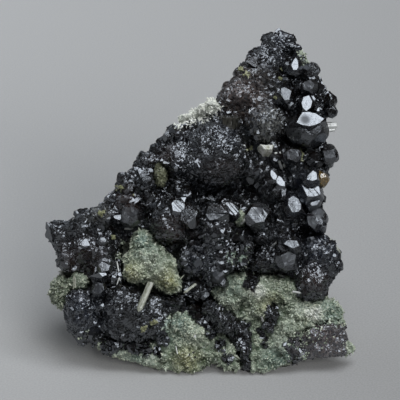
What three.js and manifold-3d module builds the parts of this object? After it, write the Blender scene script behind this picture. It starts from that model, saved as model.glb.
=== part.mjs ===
// A cabinet specimen of black sphalerite: knobs of intergrown crystals that cover the leaning front
// of a wedge of green-grey host rock, with cushions of green drusy quartz in the gaps between them.
// Millimetres, +Z up. The rock rests on its flat broken foot at z = 0.
//
// Pieces on the front are placed in the frame of the face: `across` to the right, `up` along the
// leaning face from the front edge of the foot, and `out` at right angles to the face.

import * as THREE from 'three';
import { ConvexGeometry } from 'three/addons/geometries/ConvexGeometry.js';
import { mergeVertices } from 'three/addons/utils/BufferGeometryUtils.js';
import Module from 'manifold-3d';

const wasm = await Module();
wasm.setup();

// ---------------------------------------------------------------------------------------------
// Driving dimensions
// ---------------------------------------------------------------------------------------------

const FACE_LEAN = THREE.MathUtils.degToRad(20); // how far the crusted face leans back
const GAP = 0.3; // clearance kept between neighbouring minerals
const ROCK_FRONT = -4; // the rock's face, behind the mean front of the crust
const ROCK_DEPTH = 70; // long enough to pass through the whole wedge
const KNOB_ROOT = -6; // how deep the knobs reach, into the rock
const LUMP = 0.07; // unevenness of a knob, as a share of its radius
const LARGE_KNOB = 6; // half width from which a knob gets more facets
const ROUND_ROOT = 5; // most that a knob reaches back from its middle because it is round
const FLOOR_HAIR = 0.2; // clearance of the lowest minerals over the surface that the rock rests on
const SHEET_FRONT = 0.5; // front of the sheet of small crystals that the knobs of the main crust rise from
const FOOT_FRONT = 2.5; // front of the sheets of green druse on the foot
const QUARTZ_SIDES = 6;

// ---------------------------------------------------------------------------------------------
// Materials
// ---------------------------------------------------------------------------------------------

const mineral = (color, roughness) => new THREE.MeshStandardMaterial({ color, roughness, metalness: 0 });

const rockGrey = mineral(0x6a6f63, 0.9);
const crustBlack = mineral(0x2b2a2d, 0.35);
const crystalBlack = mineral(0x3a3b3f, 0.2);
const druseGreen = mineral(0x8a9a82, 0.6);
const quartzPale = mineral(0xd6d6c4, 0.15);
const quartzSmoky = mineral(0x6b6355, 0.2);
const quartzOlive = mineral(0x6e6c44, 0.4);
const honeyAmber = mineral(0x8a5f22, 0.15);

// ---------------------------------------------------------------------------------------------
// Tools: joining, cutting, and placing in the frame of the face
// ---------------------------------------------------------------------------------------------

const faceFrame = new THREE.Matrix4().makeRotationX(Math.PI / 2 - FACE_LEAN);

function toSolid(geometry) {
  const bare = geometry.index ? geometry.toNonIndexed() : geometry.clone();
  bare.deleteAttribute('normal');
  bare.deleteAttribute('uv');
  const merged = mergeVertices(bare);
  return new wasm.Manifold(new wasm.Mesh({
    numProp: 3,
    vertProperties: Float32Array.from(merged.attributes.position.array),
    triVerts: Uint32Array.from(merged.index.array),
  }));
}

// The largest closed body of a solid: chips cut loose by a neighbour and enclosed pockets are dropped.
function mainBody(solid) {
  const bodies = solid.decompose();
  return bodies.reduce((best, body) => (body.volume() > best.volume() ? body : best));
}

function toGeometry(solid) {
  const { vertProperties, triVerts } = solid.getMesh();
  const geometry = new THREE.BufferGeometry();
  geometry.setAttribute('position', new THREE.BufferAttribute(Float32Array.from(vertProperties), 3));
  geometry.setIndex(new THREE.BufferAttribute(Uint32Array.from(triVerts), 1));
  geometry.computeVertexNormals();
  return geometry;
}

const join = (solids) => solids.reduce((whole, solid) => whole.add(solid));
const cut = (solid, cutters) => cutters.reduce((left, cutter) => left.subtract(cutter), solid);
const onFace = (geometry) => toSolid(geometry.applyMatrix4(faceFrame));

// Turns +Z of a geometry to a direction given in the frame of the face.
function pointAlong(geometry, direction, spin = 0) {
  const aim = new THREE.Vector3(...direction).normalize();
  const turn = new THREE.Quaternion().setFromUnitVectors(new THREE.Vector3(0, 0, 1), aim);
  return geometry.rotateZ(spin).applyQuaternion(turn);
}

// ---------------------------------------------------------------------------------------------
// Host rock: the outline of the face run back at right angles to it, broken off by a few flat
// fractures. The same function grown by the clearance cuts room for the minerals that sit on it.
// ---------------------------------------------------------------------------------------------

// across, up: the rim of the host rock, clockwise from the peak
const ROCK_RIM = [
  [25, 99], [29.5, 97], [33, 90], [36, 82], [35, 74], [36.5, 66], [34, 55], [37, 40],
  [35, 23], [43, 9], [45, 2], [14, -2], [-27, 3], [-38, 16], [-43, 25], [-41, 33],
  [-43, 40], [-31, 46.5], [-19, 61], [-8.5, 72], [3, 80], [9, 83], [17, 94],
];

// x, y, z of the corners where the fractures behind the rock meet; the first ring is the foot
const ROCK_CORNERS = [
  [-14, 5, 0], [-6, 1.5, 0], [22, 1.5, 0], [33, 11, 0], [41, 22, 0], [38, 36, 0],
  [20, 46, 0], [-12, 45, 0], [-28, 37, 0], [-32, 27, 0], [-27, 18, 0], [-20, 10.5, 0],
  [-46, 12, 22], [-45, 30, 24], [-26, 47, 20], [28, 49, 18], [46, 34, 14], [46, 14, 10],
  [-46, 12, 44], [-40, 36, 42], [-6, 49, 46], [36, 46, 50],
  [12, 24, 90], [16, 44, 88], [28, 46, 92], [38, 36, 86], [30, 26, 99], [24, 30, 99],
];

function hostRock(grow) {
  const rim = new THREE.Shape(ROCK_RIM.map(([across, up]) => new THREE.Vector2(across, up)));
  const slab = new THREE.ExtrudeGeometry(rim, {
    depth: ROCK_DEPTH,
    bevelEnabled: grow > 0,
    bevelThickness: grow,
    bevelSize: grow,
    bevelSegments: 1,
  });
  slab.translate(0, 0, ROCK_FRONT - ROCK_DEPTH);
  const corners = ROCK_CORNERS.map(([x, y, z]) => new THREE.Vector3(x, y, z));
  const middle = new THREE.Vector3();
  corners.forEach((corner) => middle.addScaledVector(corner, 1 / corners.length));
  corners.forEach((corner) => corner.addScaledVector(corner.clone().sub(middle).normalize(), 2 * grow));
  return onFace(slab).intersect(toSolid(new ConvexGeometry(corners)));
}

// ---------------------------------------------------------------------------------------------
// Knobs: lumpy balls rooted in the rock. Crusts and druse cushions are joined from them.
// ---------------------------------------------------------------------------------------------

function knob([across, up, out, wide, tall = wide], grow) {
  const ball = new THREE.IcosahedronGeometry(1, Math.max(wide, tall) > LARGE_KNOB ? 1 : 0);
  ball.rotateY(across + up);
  const deep = Math.max(Math.min(wide, tall, ROUND_ROOT), (out - KNOB_ROOT) / 2);
  const position = ball.attributes.position;
  const point = new THREE.Vector3();
  for (let i = 0; i < position.count; i += 1) {
    point.fromBufferAttribute(position, i);
    const sideWave = Math.sin(3 * point.x + across) + Math.sin(3.3 * point.z + across);
    const wave = sideWave + Math.sin(3.7 * point.y + up);
    point.multiplyScalar(1 + LUMP * wave / 2);
    point.multiply(new THREE.Vector3(wide + grow, tall + grow, deep + grow));
    position.setXYZ(i, point.x, point.y, point.z);
  }
  ball.translate(across, up, out - deep);
  return onFace(ball);
}

// A flat bed of small crystals between the knobs
function sheet({ rim, front }, grow) {
  const outline = new THREE.Shape(rim.map(([across, up]) => new THREE.Vector2(across, up)));
  const slab = new THREE.ExtrudeGeometry(outline, {
    depth: front - KNOB_ROOT,
    bevelEnabled: grow > 0,
    bevelThickness: grow,
    bevelSize: grow,
    bevelSegments: 1,
  });
  return onFace(slab.translate(0, 0, KNOB_ROOT));
}

// A growth is its knobs, and the sheet that they rise from where it has one.
function growth(list, bed, grow = 0) {
  const lumps = join(list.map((entry) => knob(entry, grow)));
  return bed ? lumps.add(sheet(bed, grow)) : lumps;
}

// Each knob: across, up, out, half width, half height where it differs
const MAIN_CRUST = [
  // peak
  [24.4, 99.4, 2, 3.7], [28, 96.8, 1, 2.8], [20.6, 99, 0.5, 2.4], [17.2, 94.4, 2, 3.9],
  [22, 93.2, 3, 4.5], [20.6, 88.4, 5, 5.2], [13.8, 89, 3, 4.2], [11.2, 84.2, 4, 5.3],
  [17.2, 81.8, 5, 4.8], [6.9, 81.4, 3, 3], [25, 84.4, 5, 4.8],
  [34.4, 85.4, 2, 3.9], [37.6, 80.6, 1, 3.6, 4.7], [30.4, 79.4, 3, 4.2],
  // shoulder, with the largest knob left of its middle
  [19.5, 74.7, 9, 6.7, 5.8], [33.4, 71.6, 1, 5.2],
  [5.1, 66, 12, 9.7, 10.4], [-6.6, 64.2, 8, 5.6], [-7.2, 71.2, 4, 4],
  [-15.6, 62.8, 4, 4.3], [-21.7, 56.4, 4, 3.8], [-16, 56.8, 6, 4.4],
  [-22.4, 51.6, 5, 4.4, 3.4], [-24.8, 48.6, 3, 4.6], [-14, 51, 5, 4.6], [-5, 54.6, 4, 5],
  [17.2, 60.4, 7, 4.6], [22.4, 65.6, 6, 4.6], [28.4, 64, 6, 4.4],
  [33.4, 65, 4, 3.8], [38.2, 65.2, 1, 2.8, 3.8], [35.4, 60, 2, 3.8],
  [29, 58.4, 4, 4.6], [22, 54.6, 6, 5],
  // middle band
  [-8.4, 45.3, 10, 6.9], [4.2, 43.6, 11, 7.1], [17.4, 46.4, 7, 4.4],
  [25.6, 47.6, 8, 5.4], [33.4, 53.2, 5, 4.4], [35, 45.6, 5, 4.6],
  [18.4, 41.2, 8, 4.2], [11.8, 40, 6, 4.4], [26, 40.4, 7, 4.8],
  [-1.8, 34.6, 9, 5.7], [6.4, 34.2, 8, 5.4], [4.8, 29.4, 8, 4],
  [18.8, 33.4, 8, 4.4], [25.6, 34.6, 9, 5], [36, 35.4, 9, 6.4], [33.8, 27.6, 9, 6.3],
  [0, 24.6, 3, 4.8],
  // left arm
  [-29.2, 46.6, 5, 4.4], [-35, 43.4, 5, 4.4], [-35.2, 46.6, 2, 2.8],
  [-43, 41.8, 2, 4, 4.2], [-39.6, 42.4, 2, 4], [-39.4, 34.2, 3, 4.3, 4.6], [-34.2, 37.8, 6, 4],
  [-28.6, 40.4, 5, 4.4], [-29.4, 35.4, 6, 4.4], [-29.2, 30.4, 6, 4.2],
  [-25.6, 27.8, 5, 3.2],
];

// across, up: the rim of the sheet under the main crust, clockwise from the peak
const SHEET_RIM = [
  [25, 99.5], [30, 97.5], [33.5, 91], [37, 84], [36, 74], [37.5, 66], [35, 55], [39, 40], [36.5, 25],
  [28, 28], [12, 29], [2, 22], [-5, 23], [-6, 29], [-10, 36], [-22, 42], [-24, 28], [-31, 28],
  [-42, 33.5], [-44, 40], [-32, 47], [-20, 61.5], [-9, 72.5], [3, 79], [9, 83.5], [17, 94.5],
];

const LOWER_LEFT_CRUST = [
  [-35.6, 18.3, 6, 5.5, 7.5], [-22.6, 18.6, 10, 7.4, 8], [-14.6, 17.2, 9, 6.4, 7.2],
  [-29, 15, 4, 4.8, 5.6], [-27.6, 10.6, 3, 3.6], [-11, 10.4, 6, 3.6], [-18.6, 11, 5, 4.2],
  [-7.6, 20.8, 4, 3.6], [-30.6, 23.4, 5, 3.2],
];

const LOWER_MIDDLE_CRUST = [
  [3.8, 18.6, 6, 4], [7.2, 15.4, 9, 4], [12.6, 13.4, 6, 3.8], [13.8, 8.6, 6, 3.4, 5.4],
  [9.8, 9, 3, 3.4], [14.6, 3.2, 4, 2.6, 3.6],
];

const LOWER_RIGHT_CRUST = [
  [34.4, 11.4, 5, 5.4, 4.8], [40.2, 10.4, 3, 5, 5], [36.6, 7.4, 4, 5.6, 3.4],
];

const CRUST_ISLAND = [[22.2, 17.6, 8, 2.6, 3], [20.6, 13.6, 7, 2.4, 2.8]];

const DRUSE = {
  druse_cushion: [
    [-17.4, 39.8, 8, 3.4], [-15, 35, 10, 5.8], [-18.6, 31.4, 9, 5], [-11.4, 30.8, 10, 5.4],
    [-8.8, 26.8, 8, 3.8],
  ],
  druse_right: [
    [8.8, 22.8, 7, 4.2], [13, 25.2, 8, 4.2], [19, 24.4, 8, 4.8], [25, 25, 7, 4.8],
    [17.6, 19.4, 7, 3.4], [28.8, 19, 6, 4.4], [35.6, 18, 5, 4], [40, 16.8, 3, 3],
    [27, 13.4, 7, 4], [25.4, 8, 6, 4.6], [20.4, 4.6, 4, 4.4],
  ],
  druse_left_foot: [
    [-5.1, 15.2, 6, 3.8], [-0.8, 11.8, 7, 4], [-4, 5.6, 6, 5], [2.6, 6, 5, 4.2],
    [6.4, 5.2, 3.6, 3.6], [-10.6, 5.4, 4, 4],
  ],
  druse_left_corner: [[-41.6, 24.2, 1, 4, 5.4], [-36.4, 27.4, 3, 3.2]],
  druse_slope: [[4, 80, 0, 2.8], [1, 78, 0, 2.8], [-1.4, 77, 0, 2.6], [-4, 75.8, -0.5, 2.6]],
  druse_behind_peak: [[30.5, 94.8, -1, 1.7, 2.2]],
  druse_right_corner: [[44.2, 7.2, -0.5, 2.2, 2.8]],
  druse_centre: [[12.2, 33.6, 8, 2.6], [14, 37, 8, 2.2]],
  druse_between_balls: [[11.8, 46.2, 8, 1.8, 3]],
};

const OLIVE_QUARTZ = [[-11.9, 59.2, 7, 2.2, 3.6]];

// Rims run clockwise, in across and up; front is how far out the sheet's flat face lies.
const SHEETS = {
  sphalerite_main: { rim: SHEET_RIM, front: SHEET_FRONT },
  druse_right: {
    rim: [
      [3.6, 24.3], [6.6, 29.1], [12, 30], [21, 29.1], [27.6, 29.5], [35.4, 22.5], [41.4, 21],
      [43, 16.5], [38, 15.6], [30.6, 13.2], [29, 4.4], [26.4, 3.6], [19.8, 0.8], [15.5, 0.6],
      [13.8, 11.4], [12, 16.5], [6.6, 20.1],
    ],
    front: FOOT_FRONT,
  },
  sphalerite_lower_right: {
    rim: [[28, 14], [43, 17], [44, 5.6], [36, 4.8], [28, 4.2]],
    front: FOOT_FRONT,
  },
  druse_left_foot: {
    rim: [
      [-31, 9.8], [-27, 10.8], [-21, 9.6], [-15, 9], [-9.6, 12], [-8.4, 16], [-5.1, 18.6],
      [-1.5, 19.5], [1.5, 16.5], [7.5, 11.4], [10.8, 6.9], [11.7, 1.4], [1.5, 1.4], [-0.9, 0.5],
      [-5.4, 0.5], [-15, 2.3], [-20, 3.8], [-26.5, 6.7],
    ],
    front: FOOT_FRONT,
  },
};

// ---------------------------------------------------------------------------------------------
// Single crystals that stand proud of the crust. Each is a six-sided drum with a bright end face:
// the tetrahedral face of sphalerite between bevelling rings.
// ---------------------------------------------------------------------------------------------

// at: across, up, and how far its middle lies out; face: where the end face looks (across, up, out)
const CRYSTALS = {
  lens_crystal: {
    at: [32.6, 72.2, 4.6], radius: 5.7, height: 8.6, table: 0.7,
    face: [0.05, 0.83, 0.56],
  },
  peak_lens_crystal: {
    at: [28.2, 92.4, 3], radius: 2.2, height: 3, table: 0.85,
    face: [0.45, 0.45, 0.77], squash: 0.55, spin: 1.4,
  },
  round_crystal: {
    at: [33.4, 90.4, 1.4], radius: 3, height: 4.6, table: 0.62,
    face: [0.3, 0.1, 0.95], spin: 0.4,
  },
  flat_grey_crystal: {
    at: [32.2, 84.6, 4.2], radius: 2, height: 2.4, table: 0.75,
    face: [-0.1, 0.1, 0.99],
  },
  edge_crystal_upper: {
    at: [40, 80, 1.6], radius: 2.2, height: 4, table: 0.6,
    face: [0.4, -0.1, 0.9],
  },
  small_bright_crystal: {
    at: [31.8, 80.4, 5], radius: 2, height: 3, table: 0.75,
    face: [-0.25, 0.5, 0.83], squash: 0.75, spin: 1.2,
  },
  grey_table_crystal: {
    at: [25.6, 83.3, 6.2], radius: 2.2, height: 3, table: 0.85,
    face: [-0.1, 0.3, 0.95], spin: 0.3,
  },
  smooth_flat_crystal: {
    at: [-20.5, 47.2, 5.6], radius: 3, height: 4.6, table: 0.8,
    face: [0.15, 0.3, 0.94], spin: 0.5,
  },
  striated_group_crystal: {
    at: [-5, 49.6, 8.6], radius: 3.6, height: 5, table: 0.7,
    face: [-0.25, 0.55, 0.8],
  },
  striated_square_crystal: {
    at: [3.9, 48.4, 9.6], radius: 2.9, height: 4.4, table: 0.8,
    face: [-0.1, 0.4, 0.9], spin: 0.7,
  },
  striped_bright_crystal: {
    at: [9.3, 48.8, 8], radius: 2.1, height: 3.4, table: 0.75,
    face: [0.15, 0.62, 0.77],
  },
  trapezoid_crystal: {
    at: [17.6, 47.6, 9.4], radius: 3.4, height: 4.4, table: 0.75,
    face: [-0.05, 0.5, 0.86], squash: 0.78, spin: 0.1,
  },
  twin_lens_crystal: {
    at: [22.2, 58.8, 8], radius: 1.9, height: 3.4, table: 0.8,
    face: [0.35, 0.5, 0.79], squash: 0.5, spin: -0.9,
    twin: [2.2, -2, 0],
  },
  dark_prow_crystal: {
    at: [23.4, 53.6, 8.6], radius: 2.1, height: 3.4, table: 0.6,
    face: [0.2, -0.1, 0.97],
  },
  large_faced_crystal: {
    at: [26, 37.6, 8.4], radius: 3.1, height: 4.8, table: 0.75,
    face: [0.1, 0.25, 0.96], spin: 0.8,
  },
  bright_barrel_crystal: {
    at: [28, 50.8, 8.6], radius: 2.5, height: 3.8, table: 0.75,
    face: [-0.3, 0.55, 0.78],
  },
  edge_crystal_middle: {
    at: [35.4, 45.2, 5.6], radius: 3.2, height: 4.6, table: 0.7,
    face: [0.25, -0.05, 0.97], spin: 0.3,
  },
  striped_right_crystal: {
    at: [33.2, 54.4, 6.2], radius: 3, height: 5, table: 0.7,
    face: [-0.15, 0.6, 0.79], spin: 0.6,
  },
  edge_crystal_lower: {
    at: [38.8, 65.6, 2.6], radius: 2.3, height: 4, table: 0.75,
    face: [0.1, 0.15, 0.98], spin: 0.2,
  },
  blue_faced_crystal: {
    at: [27.2, 65.4, 7.2], radius: 2, height: 3, table: 0.85,
    face: [0, 0.1, 0.99], spin: 0.9,
  },
  grey_slab_crystal: {
    at: [-28.6, 31.8, 7.6], radius: 2, height: 3, table: 0.8,
    face: [0.1, 0.45, 0.89], spin: 0.6,
  },
  ball_crystal: {
    at: [-29.9, 26, 6.4], radius: 1.9, height: 3, table: 0.55,
    face: [0, 0.2, 0.98],
  },
  dark_foot_crystal: {
    at: [5.8, 28.4, 7.6], radius: 2.7, height: 4, table: 0.6,
    face: [0.1, 0, 0.99], spin: 0.5,
  },
};

function drum({ radius, height, table, face, squash = 1, spin = 0 }, grow) {
  const half = height / 2;
  const profile = [
    new THREE.Vector2(0, -half - grow),
    new THREE.Vector2(radius * 0.6 + grow, -half - grow),
    new THREE.Vector2(radius + grow, half * 0.15),
    new THREE.Vector2(radius * table + grow, half + grow),
    new THREE.Vector2(0, half + grow),
  ];
  const body = new THREE.LatheGeometry(profile, 6);
  body.rotateX(Math.PI / 2);
  body.scale(1, squash + (grow * (1 - squash)) / radius, 1);
  return pointAlong(body, face, spin);
}

function crystal(shape, grow = 0) {
  const places = [shape.at];
  if (shape.twin) {
    places.push(shape.at.map((value, axis) => value + shape.twin[axis]));
  }
  return join(places.map((place) => onFace(drum(shape, grow).translate(...place))));
}

// ---------------------------------------------------------------------------------------------
// Quartz points: six-sided prisms with a pyramid, root and tip given in the frame of the face
// ---------------------------------------------------------------------------------------------

const QUARTZ = {
  quartz_blade: {
    root: [-14.6, 27.4, 8.4], tip: [-18.4, 18.6, 11.6],
    wide: 1.15, flat: 0.6, point: 0.12,
  },
  quartz_right_edge: {
    root: [35.4, 73.2, -1.4], tip: [41.3, 74.2, -1],
    wide: 1, flat: 0.8, point: 0.2,
  },
  quartz_under_cushion: {
    root: [-1.2, 26.9, 6], tip: [-5.2, 24, 8],
    wide: 0.55, flat: 0.8, point: 0.25,
  },
  quartz_left_corner: {
    root: [-37.4, 25.8, 4.6], tip: [-37.5, 29.6, 5.8],
    wide: 0.6, flat: 0.8, point: 0.25,
  },
  quartz_smoky: { root: [8.6, 77.4, 4.4], tip: [9, 72.6, 8], wide: 1.7, flat: 0.85, point: 0.3 },
  quartz_white_wedge: {
    root: [19.2, 68, 6], tip: [19.8, 65.2, 9.4],
    wide: 1.8, flat: 0.7, point: 0.25,
  },
  quartz_ball_edge: {
    root: [38.8, 40.2, 3], tip: [42.2, 35.6, 3.6],
    wide: 0.6, flat: 0.7, point: 0.2,
  },
};

function quartzPoint({ root, tip, wide, flat, point }, grow = 0) {
  const from = new THREE.Vector3(...root);
  const axis = new THREE.Vector3(...tip).sub(from);
  const length = axis.length();
  const radius = wide + grow;
  const profile = [
    new THREE.Vector2(0, -grow),
    new THREE.Vector2(radius, -grow),
    new THREE.Vector2(radius * 0.92, length * (1 - point)),
    new THREE.Vector2(0, length + 2 * grow),
  ];
  const body = new THREE.LatheGeometry(profile, QUARTZ_SIDES);
  body.rotateX(Math.PI / 2);
  body.scale(1, flat + (grow * (1 - flat)) / radius, 1);
  return onFace(pointAlong(body, axis.toArray()).translate(...root));
}

// Everything below the surface that the specimen rests on, and a hair above it, so that only the
// rock touches it.
function floorRoom() {
  return toSolid(new THREE.BoxGeometry(300, 300, 40).translate(0, 0, FLOOR_HAIR - 20));
}

function honeyCrystal(grow = 0) {
  const body = new THREE.DodecahedronGeometry(2 + grow);
  body.rotateX(0.4).rotateZ(0.3).translate(37, 58.2, 3.2);
  return onFace(body);
}

// ---------------------------------------------------------------------------------------------
// Assembly: small proud minerals keep their shape, and each larger one makes room for them
// ---------------------------------------------------------------------------------------------

const specimen = new THREE.Group();

function piece(name, solid, material) {
  const mesh = new THREE.Mesh(toGeometry(mainBody(solid)), material);
  mesh.name = name;
  specimen.add(mesh);
}

const rock = hostRock(0);
const rockRoom = hostRock(GAP);
piece('host_rock', rock, rockGrey);

const proudRooms = [floorRoom(), honeyCrystal(GAP)];
Object.values(CRYSTALS).forEach((shape) => proudRooms.push(crystal(shape, GAP)));
Object.values(QUARTZ).forEach((shape) => proudRooms.push(quartzPoint(shape, GAP)));

Object.entries(CRYSTALS).forEach(([name, shape]) => {
  piece(name, crystal(shape).subtract(rockRoom), crystalBlack);
});
Object.entries(QUARTZ).forEach(([name, shape]) => {
  const material = name === 'quartz_smoky' ? quartzSmoky : quartzPale;
  piece(name, quartzPoint(shape).subtract(rockRoom), material);
});
piece('honey_crystal', honeyCrystal().subtract(rockRoom), honeyAmber);

const cushionRooms = [];
Object.entries(DRUSE).forEach(([name, list]) => {
  const solid = growth(list, SHEETS[name]);
  piece(name, cut(solid, [rockRoom, ...proudRooms, ...cushionRooms]), druseGreen);
  cushionRooms.push(growth(list, SHEETS[name], GAP));
});
piece('olive_quartz', cut(growth(OLIVE_QUARTZ), [rockRoom, ...proudRooms]), quartzOlive);
cushionRooms.push(growth(OLIVE_QUARTZ, undefined, GAP));

const CRUSTS = {
  sphalerite_main: MAIN_CRUST,
  sphalerite_lower_left: LOWER_LEFT_CRUST,
  sphalerite_lower_middle: LOWER_MIDDLE_CRUST,
  sphalerite_lower_right: LOWER_RIGHT_CRUST,
  sphalerite_island: CRUST_ISLAND,
};

const crustRooms = [];
Object.entries(CRUSTS).forEach(([name, list]) => {
  const solid = growth(list, SHEETS[name]);
  piece(name, cut(solid, [rockRoom, ...proudRooms, ...cushionRooms, ...crustRooms]), crustBlack);
  crustRooms.push(growth(list, SHEETS[name], GAP));
});

// The origin is under the middle of the specimen, on the surface that it rests on.
const bounds = new THREE.Box3().setFromObject(specimen, true);
const centre = bounds.getCenter(new THREE.Vector3());
specimen.position.set(-centre.x, -centre.y, -bounds.min.z);

export default specimen;
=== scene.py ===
# %% [markdown]
# # A sphalerite specimen, finished in Blender
# The specimen is a wedge of grey-green host rock with a black crust of sphalerite on its leaning
# front, green druse in the gaps, and a few quartz points. The imported frame already holds every
# piece at its size and place as a plain faceted solid. This lesson gives each of them its real
# surface: thousands of small crystals, broken rock, striated faces, and the light to see them by.
#
# First the frame is loaded and its box is kept, which the camera aims at.

# %% Load the frame
from contextlib import contextmanager
import math

import bpy
import numpy as np
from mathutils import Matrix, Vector
from mathutils.bvhtree import BVHTree
from mathutils.kdtree import KDTree


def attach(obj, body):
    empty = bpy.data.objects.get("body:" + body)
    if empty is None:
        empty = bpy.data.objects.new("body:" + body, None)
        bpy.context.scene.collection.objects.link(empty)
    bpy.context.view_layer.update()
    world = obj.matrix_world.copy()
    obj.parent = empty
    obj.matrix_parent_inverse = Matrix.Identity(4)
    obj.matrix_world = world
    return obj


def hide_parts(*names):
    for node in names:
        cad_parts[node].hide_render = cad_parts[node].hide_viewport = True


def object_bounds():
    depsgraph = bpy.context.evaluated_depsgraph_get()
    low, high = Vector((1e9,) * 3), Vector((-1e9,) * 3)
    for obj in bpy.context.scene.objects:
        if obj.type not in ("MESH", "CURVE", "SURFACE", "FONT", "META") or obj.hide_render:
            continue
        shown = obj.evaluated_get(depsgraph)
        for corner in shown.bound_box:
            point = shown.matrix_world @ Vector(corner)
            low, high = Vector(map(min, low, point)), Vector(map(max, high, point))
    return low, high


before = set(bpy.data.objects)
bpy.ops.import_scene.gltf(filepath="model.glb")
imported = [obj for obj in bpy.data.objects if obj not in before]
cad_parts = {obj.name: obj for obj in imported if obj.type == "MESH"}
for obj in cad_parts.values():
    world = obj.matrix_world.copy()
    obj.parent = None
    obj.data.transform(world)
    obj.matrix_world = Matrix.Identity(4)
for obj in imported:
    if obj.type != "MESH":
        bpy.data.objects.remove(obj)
cad_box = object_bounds()
bpy.ops.object.select_all(action="DESELECT")
print("nodes:", len(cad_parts), "box in mm:", [round(1000 * v) for corner in cad_box for v in corner])

# %% [markdown]
# The crusted face leans back by 20 degrees, and places on it are easiest to think of as
# millimetres across, up and out of that face. One helper turns such a place into a point of the
# frame, and one turns directions.

# %% Places on the leaning face
MM = 0.001
FACE_LEAN = math.radians(20)
FACE_FOOT = Vector((0.1, -22.23, 0)) * MM


def face_direction(across, up, out):
    return Vector((
        across,
        up * math.sin(FACE_LEAN) - out * math.cos(FACE_LEAN),
        up * math.cos(FACE_LEAN) + out * math.sin(FACE_LEAN),
    ))


def on_face(across, up, out):
    return FACE_FOOT + MM * face_direction(across, up, out)


TOWARDS_VIEWER = face_direction(0, 0, 1)
VIEW_AXIS = np.array(TOWARDS_VIEWER)
print("the face looks along", [round(v, 2) for v in TOWARDS_VIEWER])


# %% Points near a place of the front
UNEVEN = (0.75, 1.25)


def front_distance(points, across, up):
    """How far each point of an array lies from a place of the front, in mm, as the viewer sees it."""
    away = (points - np.array(on_face(across, up, 0))) / MM
    away -= np.outer(away @ VIEW_AXIS, VIEW_AXIS)
    return np.linalg.norm(away, axis=1)


def in_places(points, places, random):
    """Which points lie in any of the round places, with ragged edges. A place is across, up, radius
    and the share of the points in it that count."""
    inside = np.zeros(len(points), bool)
    for across, up, radius, share in places:
        ragged = radius * random.uniform(*UNEVEN, len(points))
        inside |= (front_distance(points, across, up) < ragged) & (random.random(len(points)) < share)
    return inside

# %% [markdown]
# ## Camera, floor and light
# The camera looks square onto the leaning face from a distance, through a long lens, so that
# nothing is stretched. The specimen stands on plain pale cloth-grey ground. Black sphalerite
# shows its shape only by what its facets mirror, so one broad soft box hangs overhead to the
# front right, and its mirror image makes the white glints. A dim ceiling light and a dark room
# fill the rest.

# %% Camera
VIEW_WIDTH = 120 * MM
VIEW_DISTANCE = 0.9
SENSOR_WIDTH = 36
# the middle of the view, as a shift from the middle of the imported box, in mm
AIM_SHIFT = Vector((0.1, -4.5, 0.55))

aim = (cad_box[0] + cad_box[1]) / 2 + MM * AIM_SHIFT
camera_data = bpy.data.cameras.new("camera")
camera_data.sensor_width = SENSOR_WIDTH
camera_data.lens = SENSOR_WIDTH * VIEW_DISTANCE / VIEW_WIDTH
camera = bpy.data.objects.new("camera", camera_data)
camera.location = aim + VIEW_DISTANCE * TOWARDS_VIEWER
camera.rotation_euler = (-TOWARDS_VIEWER).to_track_quat("-Z", "Y").to_euler()
bpy.context.scene.collection.objects.link(camera)
bpy.context.scene.camera = camera
print("lens in mm:", round(camera_data.lens))


# %% Lights
COOL_WHITE = (0.93, 0.965, 1)
SKY_WHITE = (0.84, 0.92, 1)
ROOM_WHITE = (0.95, 0.97, 1.0, 1)


def soft_panel(name, place, size, watts, colour=(1, 1, 1)):
    """A square lamp that looks at the middle of the specimen."""
    data = bpy.data.lights.new(name, "AREA")
    data.size = size
    data.energy = watts
    data.color = colour
    lamp = bpy.data.objects.new(name, data)
    lamp.location = place
    lamp.rotation_euler = (aim - Vector(place)).to_track_quat("-Z", "Y").to_euler()
    bpy.context.scene.collection.objects.link(lamp)
    print(name, "is", round((aim - Vector(place)).length, 2), "m away")
    return lamp


soft_panel("overhead_soft_box", (0.36, -0.46, 1.17), size=1.04, watts=16.6, colour=COOL_WHITE)
soft_panel("wide_ceiling_light", (-0.8, 0.7, 1.4), size=1.8, watts=5.5, colour=SKY_WHITE)
world = bpy.data.worlds.new("room")
world.use_nodes = True
room = world.node_tree.nodes["Background"]
room.inputs["Color"].default_value = ROOM_WHITE
room.inputs["Strength"].default_value = 0.035
bpy.context.scene.world = world
bpy.context.scene.view_settings.view_transform = "Standard"


# %% [markdown]
# Materials are built by one small helper that adds a node, sets its sockets and links others
# into it. Every finish then reads as a short recipe.

# %% Adding shader nodes
def add_node(tree, kind, sockets=None, **settings):
    """Adds a shader node. A socket given another node's output is linked to it."""
    made = tree.nodes.new("ShaderNode" + kind)
    for name, value in settings.items():
        setattr(made, name, value)
    for name, value in (sockets or {}).items():
        if isinstance(value, bpy.types.NodeSocket):
            tree.links.new(value, made.inputs[name])
        else:
            made.inputs[name].default_value = value
    return made


def new_material(name, **sockets):
    """A material with one Principled shader, and that shader's plain sockets."""
    material = bpy.data.materials.new(name)
    material.use_nodes = True
    shader = material.node_tree.nodes["Principled BSDF"]
    for socket, value in sockets.items():
        shader.inputs[socket.replace("_", " ")].default_value = value
    return material, material.node_tree, shader


# %% Noise, ranges, blends and sums
def object_place(tree):
    return add_node(tree, "TexCoord").outputs["Object"]


def noise(tree, grain_mm, detail=3.0, roughness=0.55, place=None):
    """Cloudy noise whose blotches are about grain_mm wide."""
    return add_node(tree, "TexNoise", {
        "Vector": place or object_place(tree),
        "Scale": 1 / (grain_mm * MM),
        "Detail": detail,
        "Roughness": roughness,
    }).outputs["Fac"]


def spread(tree, value, low, high, to_low=0.0, to_high=1.0):
    """Stretches low..high of a value over to_low..to_high."""
    return add_node(tree, "MapRange", {
        "Value": value, "From Min": low, "From Max": high, "To Min": to_low, "To Max": to_high,
    }).outputs["Result"]


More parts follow.
